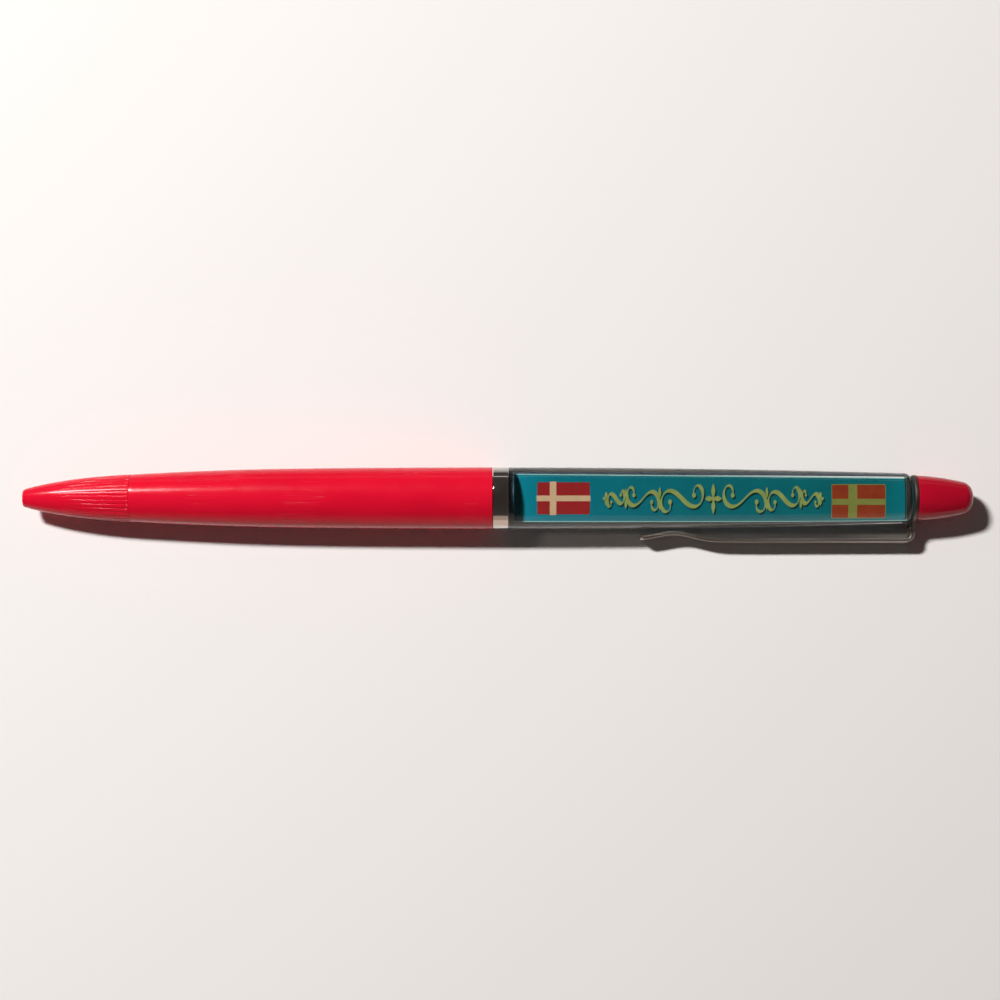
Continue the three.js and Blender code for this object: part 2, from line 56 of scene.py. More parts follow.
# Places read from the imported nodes
NOSE_LOW, NOSE_HIGH = corners_of("nose_cone")
BARREL_LOW, BARREL_HIGH = corners_of("barrel")
RING_LOW, RING_HIGH = corners_of("centre_ring")
TUBE_LOW, TUBE_HIGH = corners_of("viewing_tube")
CLIP_LOW, CLIP_HIGH = corners_of("pocket_clip")
CAP_LOW, CAP_HIGH = corners_of("end_cap")
TITLE_LOW, TITLE_HIGH = corners_of("title_panel")
SCENE_LOW, SCENE_HIGH = corners_of("scene_panel")
FRONT_LOW, FRONT_HIGH = corners_of("foreground_film")
FLOAT_LOW, FLOAT_HIGH = corners_of("float_boat")
STOP_END = corners_of("panel_stop")[1].x
PLUG_END = corners_of("tube_plug")[1].x
POINT_LOW, POINT_HIGH = corners_of("refill_tip")
BALL_LOW, BALL_HIGH = corners_of("tip_ball")
AXIS_Y = (RING_LOW.y + RING_HIGH.y) / 2
AXIS_Z = (RING_LOW.z + RING_HIGH.z) / 2

# Gaps where one piece sits in another
FIT_GAP = 0.1
CLOSE_GAP = 0.05

# Nose and its ribs
SHUT_LINE = 0.03
SEAM_SETBACK = 0.55
BARREL_FRONT = BARREL_LOW.x + SEAM_SETBACK
NOSE_END = BARREL_FRONT - SHUT_LINE
NOSE_TIP_RADIUS = 1.32
NOSE_SHOULDER_FROM_TIP = 5.9
NOSE_SHOULDER_RADIUS = 3.13
NOSE_SEAM_RADIUS = 3.66
MOUTH_RADIUS = 0.85
MOUTH_LENGTH = 1.5
THROAT_RADIUS = 1.35
THROAT_LENGTH = 5.5
SPRING_BORE_RADIUS = 2.2
SPIGOT_RADIUS = 2.6
MOUTH_EDGE = 0.12
NOSE_TIP_EDGE = 0.27
SEAM_EDGE = 0.03
SPIGOT_EDGE = 0.2
OUTLINE_MARGIN = 0.1
RIB_MIN_RADIUS = SPRING_BORE_RADIUS + 0.15
RIB_COUNT = 32
RIB_LENGTH = 10.9
RIB_REAR_MARGIN = 0.1
RIB_REAR_STEP = 0.2
RIB_TURN = math.radians(1.6)
GROOVE_STEPS = 10
CREST_STEPS = 5
GROOVE_DEPTH = 0.1
GROOVE_SHARE = 0.28
CREST_FALL = 0.03

# Barrel
BARREL_RADIUS = (BARREL_HIGH.z - BARREL_LOW.z) / 2
BARREL_FRONT_HANDLE = 16.0
BARREL_REAR_HANDLE = 32.0
BARREL_FRONT_RISE = 0.055
BARREL_REAR_RISE = 0.003
BARREL_THREAD_END = NOSE_HIGH.x + FIT_GAP
BARREL_MAIN_BORE = 2.9
BARREL_REAR_BORE = 3.55
GUIDE_START = corners_of("guide_sleeve")[0].x

# Writing point
POINT_RADIUS = (POINT_HIGH.z - POINT_LOW.z) / 2
POINT_FRONT_RADIUS = 0.5
POINT_MOUTH_RADIUS = 0.26
POINT_TAPER_LENGTH = 5.0
POINT_TAPER_RADIUS = 0.75
POINT_STEP = 0.4
POINT_SPIGOT_LENGTH = 2.05
POINT_SPIGOT_RADIUS = 0.85
POINT_EDGE = 0.08
INK_BORE_RADIUS = 0.25
BALL_SEAT_DEPTH = 1.0
BALL_STEPS = 24

# Band and tube
BAND_EDGE = 0.05
RING_RADIUS = (RING_HIGH.z - RING_LOW.z) / 2
RING_WALL = 0.6
TUBE_START = RING_HIGH.x + CLOSE_GAP
CLIP_THICKNESS = 0.6
TUBE_END = CLIP_HIGH.x - CLIP_THICKNESS - CLOSE_GAP
TUBE_FRONT_RADIUS = (TUBE_HIGH.z - TUBE_LOW.z) / 2
TUBE_REAR_RADIUS = 3.86
TUBE_SHOULDER_ROUND = 1.2
TUBE_SPIGOT_RADIUS = RING_RADIUS - RING_WALL - FIT_GAP
TUBE_STEPS = 64
TUBE_SHOULDER_STEPS = 12
BORE_FRONT_RADIUS = 3.5
BORE_REAR_RADIUS = 2.95
TUBE_BORE_END = STOP_END + CLOSE_GAP
BORE_END_ROUND = 0.25
STUD_RADIUS = 1.6

# Cap
CAP_FRONT_RADIUS = 3.5
CAP_REAR_RADIUS = 2.45
CAP_END_FLAT_RADIUS = 1.0
CAP_ROUND_LENGTH = 1.25
CAP_SIDE_BULGE = 0.38
CAP_ROUND_SET_BACK = 0.25
CAP_ROUND_RADIUS = 2.05
CAP_EDGE = 0.1

# Clip
CLIP_EDGE_ROUND = 0.16
CLIP_MIDDLE = CLIP_HIGH.x - CLIP_THICKNESS / 2
CLIP_OFFSET = 6.75
CLIP_REAR_LEAN = 0.34
CLIP_KNEE_OFFSET = 6.45
CLIP_HUMP_OFFSET = 5.2
CLIP_TIP_OFFSET = 6.2
CLIP_KNEE_FROM_WASHER = 31.4
CLIP_HUMP_FROM_WASHER = 36.6
CLIP_TIP_FROM_WASHER = 42.0
CLIP_BEND_RADIUS = 1.0
CLIP_HUMP_RADIUS = 1.6
CLIP_WASHER_RADIUS = 3.55
CLIP_ARM_TOP_RISE = 0.7
CLIP_ARM_ROOT_DROP = 3.0
CLIP_ARM_ROOT_OFFSET = 1.3
CLIP_TIP_CORNER = 1.1
CLIP_TIP_STEPS = [1.1, 0.9, 0.7, 0.5, 0.34, 0.22, 0.12, 0.05, 0.0]
CLIP_TIP_THINNING = 0.3
CLIP_POINT_SPACING = 1.5
CLIP_PLATE_EASE = 0.1
CLIP_STRIP_TOP = CLIP_LOW.z + 3.9


def profile_curve(points, steps):
    """Points along a Bezier curve of three or four handles."""
    handles = [Vector(point) for point in points]
    line = []
    for step in range(steps + 1):
        t = step / steps
        level = handles
        while len(level) > 1:
            level = [a.lerp(b, t) for a, b in zip(level, level[1:])]
        line.append(tuple(level[0]))
    return line


def eased(points, steps=4):
    """An outline whose corners that carry a third number are rounded by about that much."""
    line = []
    for i, point in enumerate(points):
        here = Vector(point[:2])
        if len(point) == 2:
            line.append(tuple(here))
            continue
        before = Vector(points[i - 1][:2])
        after = Vector(points[(i + 1) % len(points)][:2])
        start = here + (before - here).normalized() * point[2]
        end = here + (after - here).normalized() * point[2]
        line += profile_curve([start, here, end], steps)
    return line


def around(count):
    """Evenly spaced angles, once round a circle."""
    return [2 * math.pi * i / count for i in range(count)]


def turned(profile, sides, relief=None, finish_of=None, angles=None):
    """A profile of (station, radius) points turned about the pen's axis, as corners, faces and finishes."""
    angles = angles or around(sides)
    corners, rings = [], []
    for station, radius in profile:
        first = len(corners)
        if radius == 0:
            corners.append((station, AXIS_Y, AXIS_Z))
            rings.append([first] * sides)
            continue
        for angle in angles:
            sunk = relief(station, radius, angle) if relief else 0
            across = (radius - sunk) * math.sin(angle)
            up = (radius - sunk) * math.cos(angle)
            corners.append((station, AXIS_Y + across, AXIS_Z + up))
        rings.append(list(range(first, first + sides)))
    faces, finishes = [], []
    open_ends = 1 if profile[0][1] == 0 else 0
    for k in range(len(rings) - open_ends):
        here, there = rings[k], rings[(k + 1) % len(rings)]
        for i in range(sides):
            j = (i + 1) % sides
            faces.append(list(dict.fromkeys([here[i], here[j], there[j], there[i]])))
            finishes.append(finish_of(k) if finish_of else 0)
    return corners, faces, finishes


def plate(outline, low, high, finish=0):
    """A flat outline of (x, y) points with a height from low to high."""
    count = len(outline)
    corners = [(x, y, low) for x, y in outline] + [(x, y, high) for x, y in outline]
    faces = [list(range(count))[::-1], list(range(count, 2 * count))]
    for i in range(count):
        j = (i + 1) % count
        faces.append([i, j, count + j, count + i])
    return corners, faces, [finish] * len(faces)


def swept(sections, finish=0):
    """Equal loops of corners joined one after the other, with both ends closed."""
    count = len(sections[0])
    corners = [corner for section in sections for corner in section]
    faces = [list(range(count)), list(range(len(corners) - count, len(corners)))]
    for k in range(len(sections) - 1):
        for i in range(count):
            j = (i + 1) % count
            a, b = k * count, (k + 1) * count
            faces.append([a + i, a + j, b + j, b + i])
    return corners, faces, [finish] * len(faces)


def box_outline(left, right, bottom, top, corner=0.0):
    outline = [(left, bottom), (right, bottom), (right, top), (left, top)]
    return eased([(*point, corner) for point in outline], 5) if corner else outline


def disc_outline(x, y, radius, tall=1.0):
    return [(x + radius * math.cos(a), y + tall * radius * math.sin(a)) for a in around(24)]


def tapered_outline(middle, low, high, half_low, half_high):
    """A level-sided shape, even about its middle, that is wider or narrower at its top."""
    return [(middle - half_low, low), (middle + half_low, low), (middle + half_high, high),
            (middle - half_high, high)]


def leaf_outline(x, y, length, width, angle, steps=9):
    """A leaf that starts at (x, y) and points along an angle."""
    there = [(i / steps, 1) for i in range(steps)]
    back = [(1 - i / steps, -1) for i in range(steps)]
    outline = []
    for share, side in there + back:
        along, out = length * share, side * width / 2 * math.sin(math.pi * share)
        outline.append((x + along * math.cos(angle) - out * math.sin(angle),
                        y + along * math.sin(angle) + out * math.cos(angle)))
    return outline


def moved(outline, by):
    return [(x + by[0], y + by[1]) for x, y in outline]


def build_mesh(name, parts):
    """One mesh, in metres, from parts of corners, faces and finishes."""
    corners, faces, finishes = [], [], []
    for part_corners, part_faces, part_finishes in parts:
        first = len(corners)
        corners += [Vector(corner) * MM for corner in part_corners]
        faces += [[first + i for i in face] for face in part_faces]
        finishes += part_finishes
    mesh = bpy.data.meshes.new(name)
    mesh.from_pydata(corners, [], faces)
    mesh.polygons.foreach_set("material_index", finishes)
    outward = bmesh.new()
    outward.from_mesh(mesh)
    bmesh.ops.recalc_face_normals(outward, faces=outward.faces)
    outward.to_mesh(mesh)
    outward.free()
    return mesh


def linked(name, data):
    """An object of the scene that shows a mesh, a light or a camera."""
    made = bpy.data.objects.new(name, data)
    bpy.context.scene.collection.objects.link(made)
    return made


def make_piece(name, shapes, finishes, body, replaces=(), sharp_angle=32):
    """A piece that rides on a body, from its shapes or a ready mesh, smooth up to sharp_angle."""
    mesh = build_mesh(name, shapes) if isinstance(shapes, list) else shapes
    for finish in finishes:
        mesh.materials.append(finish)
    mesh.shade_smooth()
    mesh.set_sharp_from_angle(angle=math.radians(sharp_angle))
    piece = linked(name, mesh)
    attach(piece, body)
    if replaces:
        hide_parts(*replaces)
    return piece


# Materials

def linear(hex_colour):
    """An sRGB hex colour as linear red, green, blue and alpha."""
    shares = [int(hex_colour[i:i + 2], 16) / 255 for i in (1, 3, 5)]
    return [s / 12.92 if s <= 0.04045 else ((s + 0.055) / 1.055) ** 2.4 for s in shares] + [1]


def per(size):
    """The scale at which a pattern repeats about every size millimetres."""
    return 1 / (size * MM)


def new_material(name):
    """A node material, still empty, and its node tree."""
    material = bpy.data.materials.new(name)
    material.use_nodes = True
    material.node_tree.nodes.clear()
    return material, material.node_tree


def add(tree, kind, inputs=None, **settings):
    """One shader node with its own settings, and with values or links on its input sockets."""
    made = tree.nodes.new("ShaderNode" + kind)
    for key, value in settings.items():
        setattr(made, key, value)
    for socket, value in (inputs or {}).items():
        if isinstance(value, bpy.types.NodeSocket):
            tree.links.new(value, made.inputs[socket])
        else:
            made.inputs[socket].default_value = value
    return made


def shown_by(material, shader):
    """The material, with a shader node joined to its output."""
    tree = material.node_tree
    tree.links.new(shader.outputs[0], add(tree, "OutputMaterial").inputs[0])
    return material


def coated(material, inputs):
    """The material, shown by a principled shader with these inputs."""
    return shown_by(material, add(material.node_tree, "BsdfPrincipled", inputs))


def either(tree, share, first, second):
    """The first shader, passing into the second as a share rises."""
    return add(tree, "MixShader", {0: share, 1: first.outputs[0], 2: second.outputs[0]})


def combined(tree, operation, *values):
    """The result of a math operation on one or two values."""
    return add(tree, "Math", dict(enumerate(values)), operation=operation).outputs[0]


def blend(tree, factor, low, high):
    """Colour low passing into colour high as a factor rises. Each is a hex colour or comes from a node."""
    shades = [linear(shade) if isinstance(shade, str) else shade for shade in (low, high)]
    made = add(tree, "Mix", {"Factor": factor, 6: shades[0], 7: shades[1]}, data_type="RGBA")
    return made.outputs[2]


def bump(tree, height, strength, depth):
    """A normal bent by a height pattern that is depth millimetres deep."""
    made = add(tree, "Bump", {"Height": height, "Strength": strength, "Distance": depth * MM})
    return made.outputs["Normal"]


def place(tree, axis):
    """Where a point lies along one axis, in metres."""
    here = add(tree, "TexCoord").outputs["Object"]
    return add(tree, "SeparateXYZ", {0: here}).outputs[axis]


def ramp(tree, factor, stops):
    """A colour ramp through (place, hex colour) stops."""
    made = add(tree, "ValToRGB", {"Fac": factor})
    elements = made.color_ramp.elements
    while len(elements) < len(stops):
        elements.new(0.5)
    for element, (share, colour) in zip(elements, stops):
        element.position = share
        element.color = linear(colour)
    return made.outputs["Color"]


def spread(tree, value, low, high, to_low=0, to_high=1):
    """A value between low and high mapped onto to_low to to_high, and held there."""
    made = add(tree, "MapRange", {
        "Value": value, "From Min": low, "From Max": high, "To Min": to_low, "To Max": to_high})
    return made.outputs["Result"]


def grain(tree, size, stretch=(1, 1, 1), detail=2.0):
    """Noise whose lumps are about size millimetres, stretched along the axes, from 0 to 1."""
    here = add(tree, "TexCoord").outputs["Object"]
    scale = [per(size) / share for share in stretch]
    mapped = add(tree, "Mapping", {"Vector": here, "Scale": scale})
    noise = add(tree, "TexNoise", {"Vector": mapped.outputs["Vector"], "Scale": 1, "Detail": detail})
    return noise.outputs["Fac"]


def mottle(tree, size, low, high, stretch=(1, 1, 1)):
    """A value that wanders between low and high in soft patches of about size millimetres."""
    return spread(tree, grain(tree, size, stretch), 0.3, 0.7, low, high)


def scuffs(tree, size, stretch, width, cover):
    """Thin scratches where one stretched noise crosses its middle value, kept to patches of another."""
    off_middle = combined(tree, "SUBTRACT", grain(tree, size, stretch, 1), 0.5)
    scratch = spread(tree, combined(tree, "ABSOLUTE", off_middle), 0, width, 1, 0)
    patch = spread(tree, grain(tree, size * 9, (1, 1, 1), 0), cover, cover + 0.08)
    return combined(tree, "MULTIPLY", scratch, patch)


def red_abs(name, main, deep, scuffed, rough, texture):
    """ABS moulded in a lightly textured mould: an even satin red with a soft sheen, faint flow marks and
    hairline scuffs from the hand."""
    material, tree = new_material(name)
    marks = spread(tree, grain(tree, 5.0, (3, 1, 1)), 0.35, 0.65)
    faint = combined(tree, "MULTIPLY", scuffs(tree, 0.6, (26, 1, 1), 0.014, 0.56), 0.14)
    pits = combined(tree, "SUBTRACT", grain(tree, texture, detail=1), faint)
    return coated(material, {
        "Base Color": blend(tree, faint, blend(tree, marks, main, deep), scuffed),
        "Roughness": mottle(tree, 2.4, rough - 0.03, rough + 0.04), "IOR": 1.54, "Specular IOR Level": 0.32,
        "Subsurface Weight": 0.06, "Subsurface Scale": 0.6 * MM, "Normal": bump(tree, pits, 0.35, 0.007)})


def plain_plastic(name, colour, rough, texture=0.25):
    """Natural moulded plastic, such as acetal or polyethylene: waxy and even, with a fine mould texture."""
    material, tree = new_material(name)
    return coated(material, {
        "Base Color": linear(colour), "Roughness": mottle(tree, 1.6, rough - 0.05, rough + 0.07), "IOR": 1.5,
        "Normal": bump(tree, grain(tree, texture), 0.3, 0.01)})


def metal(name, colour, low_rough, high_rough, line_size, stretch, depth):
    """Bare or plated metal: fine lines left by turning, drawing or polishing, and slight finger marks."""
    material, tree = new_material(name)
    return coated(material, {
        "Base Color": linear(colour), "Metallic": 1,
        "Roughness": spread(tree, grain(tree, 1.8), 0.38, 0.68, low_rough, high_rough),
        "Normal": bump(tree, grain(tree, line_size, stretch, 1), 0.5, depth)})


def polished_acrylic():
    """Clear acrylic, polished in the mould: it bends what lies behind it and mirrors at its edges. A lamp
    reaches the films inside it, but little of its light goes on to the table, most near the closed end."""
    material, tree = new_material("clear_acrylic_polished")
    glass = add(tree, "BsdfPrincipled", {
        "Base Color": linear("#fafcfb"), "Roughness": 0.015, "IOR": 1.49, "Transmission Weight": 1,
        "Specular IOR Level": 0.35, "Normal": bump(tree, grain(tree, 4.0), 0.1, 0.004)})
    share = spread(tree, place(tree, "X"), TUBE_LOW.x * MM, TUBE_END * MM)
    leaving = ramp(tree, share, [(0.0, "#383330"), (0.8, "#37332f"), (0.95, "#635d58"), (1.0, "#6b645f")])
    within = add(tree, "NewGeometry").outputs["Backfacing"]
    through = add(tree, "BsdfTransparent", {"Color": blend(tree, within, leaving, "#ffffff")})
    lamp = add(tree, "LightPath").outputs["Is Shadow Ray"]
    return shown_by(material, either(tree, lamp, glass, through))


def wetted_wall(name, tint, film_share=0.0):
    """Clear plastic wetted by the oil, which bends light as much as it does: its surface all but vanishes."""
    material, tree = new_material(name)
    through = add(tree, "BsdfTransparent", {"Color": linear(tint)})
    sheen = add(tree, "BsdfPrincipled", {
        "Base Color": linear("#dfe8e8"), "Roughness": 0.1, "IOR": 1.06})
    return shown_by(material, either(tree, mottle(tree, 6.0, film_share * 0.6, film_share), through, sheen))


MATT = {"IOR": 1.5, "Specular IOR Level": 0.15}


def print_ink(name, colour, faded):
    """Ink on photographic film under oil: flat and matt, with a trace of uneven density."""
    material, tree = new_material(name)
    density = mottle(tree, 0.9, 0, 1, (2, 1, 1))
    return coated(material, {"Base Color": blend(tree, density, colour, faded), "Roughness": 0.42, **MATT})


def graded_film(name, axis, low, high, stops, mottled):
    """Photographic film whose ground passes through several shades along one axis. The shades are print, and
    where they lighten a shaded end they are painted light.
    """
    material, tree = new_material(name)
    ground = ramp(tree, spread(tree, place(tree, axis), low * MM, high * MM), stops)
    uneven = mottle(tree, 1.3, 0, mottled, (2.5, 1, 1))
    return coated(material, {"Base Color": blend(tree, uneven, ground, "#0f8f92"), "Roughness": 0.4, **MATT})


BARREL_RED = red_abs("red_abs_satin", "#e21130", "#d80d2c", "#f0949c", 0.19, 0.22)
# The cap's red is darker than the barrel's: painted shade for the cap, which lies further from the lamp and
# turns away from it.
CAP_RED_PAINTED_SHADE = red_abs("red_abs_gloss_painted_shade", "#bc0e2a", "#b00b26", "#dc8890", 0.14, 0.3)
CHROME = metal("chrome_plate_polished", "#d8d4d0", 0.05, 0.11, 0.05, (1, 30, 30), 0.0012)
CLIP_STEEL = metal("nickel_plated_steel_rolled", "#d6ccc5", 0.4, 0.48, 0.4, (40, 1, 1), 0.001)
# A darker copy of the clip's steel for the washer and arm: painted shade where the steel mirrors dark
# surroundings.
PAINTED_SHADE_STEEL = metal("steel_plate_painted_shade", "#776d66", 0.5, 0.6, 0.4, (1, 1, 1), 0.001)
SPRING_WIRE = metal("steel_wire_drawn", "#a9abb0", 0.2, 0.3, 0.06, (12, 1, 1), 0.003)
TURNED_BRASS = metal("brass_turned", "#c79a45", 0.16, 0.27, 0.05, (1, 30, 30), 0.003)
CARBIDE = metal("carbide_ground", "#8e9297", 0.12, 0.2, 0.05, (1, 1, 1), 0.001)
ACRYLIC = polished_acrylic()
BORE_WALL = wetted_wall("acrylic_wetted_by_oil", "#ffffff")
CLEAR_FILM = wetted_wall("clear_film_in_oil", "#f6faf9", 0.06)
CLEAR_BLOCK = wetted_wall("clear_block_in_oil", "#c9cfce", 0.03)
ACETAL = plain_plastic("natural_acetal_moulded", "#e6dfcf", 0.42)
POLYPROPYLENE = plain_plastic("natural_polypropylene_tube", "#dcd8cd", 0.34)
# The plug's dark teal is painted shade: it copies the teal film in shadow beside the band, where the plug's
# end shows.
PLUG_PAINTED_SHADE = plain_plastic("plug_polyethylene_painted_shade", "#1c404d", 0.4)
STOPPER_RED = plain_plastic("red_polyethylene_stopper", "#b02730", 0.45)
RUBBER = plain_plastic("black_nitrile_rubber", "#1d1c1b", 0.75, 0.12)
WHITE_CORE = plain_plastic("white_pvc_sheet", "#f2f0ea", 0.5, 0.5)


# Red lower half

def rib_relief(station, radius, angle):
    """How far the nose's surface falls at its ribs: softly rounded crests between narrow grooves, which
    deepen evenly from nothing near the tip and stop just short of the seam."""
    if radius < RIB_MIN_RADIUS:
        return 0
    rib_end = NOSE_END - RIB_REAR_MARGIN
    grown = min(max(1 - (rib_end - station) / RIB_LENGTH, 0), 1)
    before_seam = min(max((rib_end - station) / RIB_REAR_STEP, 0), 1)
    across = abs(((angle - RIB_TURN) * RIB_COUNT / (2 * math.pi)) % 1 - 0.5) * 2
    fall = CREST_FALL * (1 - across) ** 2
    if across < GROOVE_SHARE:
        fall += GROOVE_DEPTH * (1 + math.cos(math.pi * across / GROOVE_SHARE)) / 2
    return fall * grown * before_seam


def rib_angles():
    """Angles of the nose's corners: close together in each groove and further apart on each crest."""
    pitch = 2 * math.pi / RIB_COUNT
    shares = [GROOVE_SHARE * (2 * i / GROOVE_STEPS - 1) / 2 for i in range(GROOVE_STEPS)]
    shares += [GROOVE_SHARE / 2 + (1 - GROOVE_SHARE) * i / CREST_STEPS for i in range(CREST_STEPS)]
    return [pitch * (rib + 0.5 + share) + RIB_TURN for rib in range(RIB_COUNT) for share in shares]


def make_nose():
    tip = NOSE_LOW.x
    outline = profile_curve([
        (tip, NOSE_TIP_RADIUS),
        (tip + NOSE_SHOULDER_FROM_TIP, NOSE_SHOULDER_RADIUS),
        (NOSE_END, NOSE_SEAM_RADIUS)], steps=72)
    mouth_end = tip + MOUTH_LENGTH
    throat_end = mouth_end + THROAT_LENGTH
    profile = eased([
        (tip, MOUTH_RADIUS, MOUTH_EDGE),
        (tip, NOSE_TIP_RADIUS, NOSE_TIP_EDGE),
        *[point for point in outline if tip + NOSE_TIP_EDGE < point[0] < NOSE_END - OUTLINE_MARGIN],
        (NOSE_END, NOSE_SEAM_RADIUS, SEAM_EDGE),
        (NOSE_END, SPIGOT_RADIUS),
        (NOSE_HIGH.x, SPIGOT_RADIUS, SPIGOT_EDGE),
        (NOSE_HIGH.x, SPRING_BORE_RADIUS),
        (throat_end, SPRING_BORE_RADIUS),
        (throat_end, THROAT_RADIUS),
        (mouth_end, THROAT_RADIUS),
        (mouth_end, MOUTH_RADIUS)])
    angles = rib_angles()
    shell = turned(profile, len(angles), rib_relief, angles=angles)
    make_piece("nose_shell", [shell], [BARREL_RED], "barrel", ["nose_cone"], sharp_angle=75)


def make_barrel():
    front, rear = BARREL_FRONT, BARREL_HIGH.x
    outline = profile_curve([
        (front, NOSE_SEAM_RADIUS),
        (front + BARREL_FRONT_HANDLE, NOSE_SEAM_RADIUS + BARREL_FRONT_HANDLE * BARREL_FRONT_RISE),
        (rear - BARREL_REAR_HANDLE, BARREL_RADIUS - BARREL_REAR_HANDLE * BARREL_REAR_RISE),
        (rear, BARREL_RADIUS)], steps=70)
    profile = eased([
        (front, SPIGOT_RADIUS + FIT_GAP),
        (front, NOSE_SEAM_RADIUS, SEAM_EDGE),
        *[point for point in outline if front + OUTLINE_MARGIN < point[0] < rear - 2 * OUTLINE_MARGIN],
        (rear, BARREL_RADIUS, BAND_EDGE),
        (rear, BARREL_REAR_BORE),
        (GUIDE_START - FIT_GAP, BARREL_REAR_BORE),
        (GUIDE_START - FIT_GAP, BARREL_MAIN_BORE),
        (BARREL_THREAD_END, BARREL_MAIN_BORE),
        (BARREL_THREAD_END, SPIGOT_RADIUS + FIT_GAP)])
    shell = turned(profile, sides=128)
    make_piece("barrel_shell", [shell], [BARREL_RED], "barrel", ["barrel"])


def make_refill_point():
    front, rear = POINT_LOW.x, POINT_HIGH.x
    taper_end = front + POINT_TAPER_LENGTH
    tube_seat = rear - POINT_SPIGOT_LENGTH
    profile = eased([
        (front, POINT_MOUTH_RADIUS),
        (front, POINT_FRONT_RADIUS, POINT_EDGE),
        (taper_end, POINT_TAPER_RADIUS),
        (taper_end + POINT_STEP, POINT_RADIUS, POINT_EDGE),
        (tube_seat, POINT_RADIUS, POINT_EDGE),
        (tube_seat, POINT_SPIGOT_RADIUS),
        (rear, POINT_SPIGOT_RADIUS),
        (rear, INK_BORE_RADIUS),
        (front + BALL_SEAT_DEPTH, INK_BORE_RADIUS)])
    point = turned(profile, sides=64)
    make_piece("refill_point", [point], [TURNED_BRASS], "refill", ["refill_tip"])


def make_ball():
    radius = (BALL_HIGH.x - BALL_LOW.x) / 2
    middle = (BALL_HIGH.x + BALL_LOW.x) / 2
    turns = [math.pi * i / BALL_STEPS for i in range(1, BALL_STEPS)]
    arc = [(middle - radius * math.cos(turn), radius * math.sin(turn)) for turn in turns]
    ball = turned([(middle - radius, 0), *arc, (middle + radius, 0)], sides=48)
    make_piece("writing_ball", [ball], [CARBIDE], "refill", ["tip_ball"])


# Band, clear tube and cap

def make_band():
    inner = RING_RADIUS - RING_WALL
    profile = eased([
        (RING_LOW.x, inner),
        (RING_LOW.x, RING_RADIUS, BAND_EDGE),
        (RING_HIGH.x, RING_RADIUS, BAND_EDGE),
        (RING_HIGH.x, inner)])
    make_piece("centre_band", [turned(profile, sides=160)], [CHROME], "upper", ["centre_ring"])


def tube_radius(station):
    """Outer radius of the tube, which falls in one shallow arc towards the rear."""
    shoulder = TUBE_END - TUBE_SHOULDER_ROUND
    share = min(max((station - TUBE_START) / (shoulder - TUBE_START), 0), 1)
    return TUBE_FRONT_RADIUS - (TUBE_FRONT_RADIUS - TUBE_REAR_RADIUS) * share ** 2


def make_tube():
    spigot_start = TUBE_LOW.x
    shoulder = TUBE_END - TUBE_SHOULDER_ROUND
    inside = eased([
        (TUBE_BORE_END, 0),
        (TUBE_BORE_END, BORE_REAR_RADIUS, BORE_END_ROUND),
        (spigot_start, BORE_FRONT_RADIUS)], steps=6)
    outside = [(spigot_start, TUBE_SPIGOT_RADIUS), (TUBE_START, TUBE_SPIGOT_RADIUS)]
    for i in range(TUBE_STEPS + 1):
        station = TUBE_START + (shoulder - TUBE_START) * i / TUBE_STEPS
        outside.append((station, tube_radius(station)))
    for i in range(1, TUBE_SHOULDER_STEPS + 1):
        angle = i / TUBE_SHOULDER_STEPS * math.pi / 2
        outside.append((shoulder + TUBE_SHOULDER_ROUND * math.sin(angle),
                        TUBE_REAR_RADIUS - TUBE_SHOULDER_ROUND * (1 - math.cos(angle))))
    stud = [(TUBE_END, STUD_RADIUS), (TUBE_HIGH.x, STUD_RADIUS), (TUBE_HIGH.x, 0)]
    oiled = len(inside) - 1
    tube = turned(inside + outside + stud, sides=192, finish_of=lambda k: 1 if k < oiled else 0)
    make_piece("clear_tube", [tube], [ACRYLIC, BORE_WALL], "upper", ["viewing_tube"])


def make_cap():
    front, rear = CAP_LOW.x, CAP_HIGH.x
    round_start = rear - CAP_ROUND_LENGTH
    middle = (front + round_start) / 2
    bulge = (CAP_FRONT_RADIUS + CAP_REAR_RADIUS) / 2 + CAP_SIDE_BULGE
    side = profile_curve([
        (front, CAP_FRONT_RADIUS),
        (middle, bulge),
        (round_start, CAP_REAR_RADIUS)], steps=28)
    end = profile_curve([
        (round_start, CAP_REAR_RADIUS),
        (rear - CAP_ROUND_SET_BACK, CAP_ROUND_RADIUS),
        (rear, CAP_END_FLAT_RADIUS)], steps=14)
    bore_end, bore_radius = TUBE_HIGH.x + FIT_GAP, STUD_RADIUS + FIT_GAP
    profile = eased([
        (bore_end, 0),
        (bore_end, bore_radius),
        (front, bore_radius),
        (front, CAP_FRONT_RADIUS, CAP_EDGE),
        *side[2:],
        *end[1:],
        (rear, 0)])
    make_piece("cap_shell", [turned(profile, sides=128)], [CAP_RED_PAINTED_SHADE], "upper", ["end_cap"])


# Pocket clip

def clip_path():
    """Plan points (x, y) of the strip's middle, from the arm round the bend to the free tip."""
    line = [Vector(point) for point in eased([
        (CLIP_MIDDLE, -CLIP_OFFSET + 2 * CLIP_BEND_RADIUS),
        (CLIP_MIDDLE, -CLIP_OFFSET, CLIP_BEND_RADIUS),
        (CLIP_MIDDLE - CLIP_KNEE_FROM_WASHER, -CLIP_KNEE_OFFSET, CLIP_HUMP_RADIUS),
        (CLIP_MIDDLE - CLIP_HUMP_FROM_WASHER, -CLIP_HUMP_OFFSET, CLIP_HUMP_RADIUS),
        (CLIP_MIDDLE - CLIP_TIP_FROM_WASHER, -CLIP_TIP_OFFSET)], steps=12)]
    dense = []
    for a, b in zip(line, line[1:]):
        pieces = max(1, round((b - a).length / CLIP_POINT_SPACING))
        dense += [a.lerp(b, i / pieces) for i in range(pieces)]
    return dense + [line[-1]]


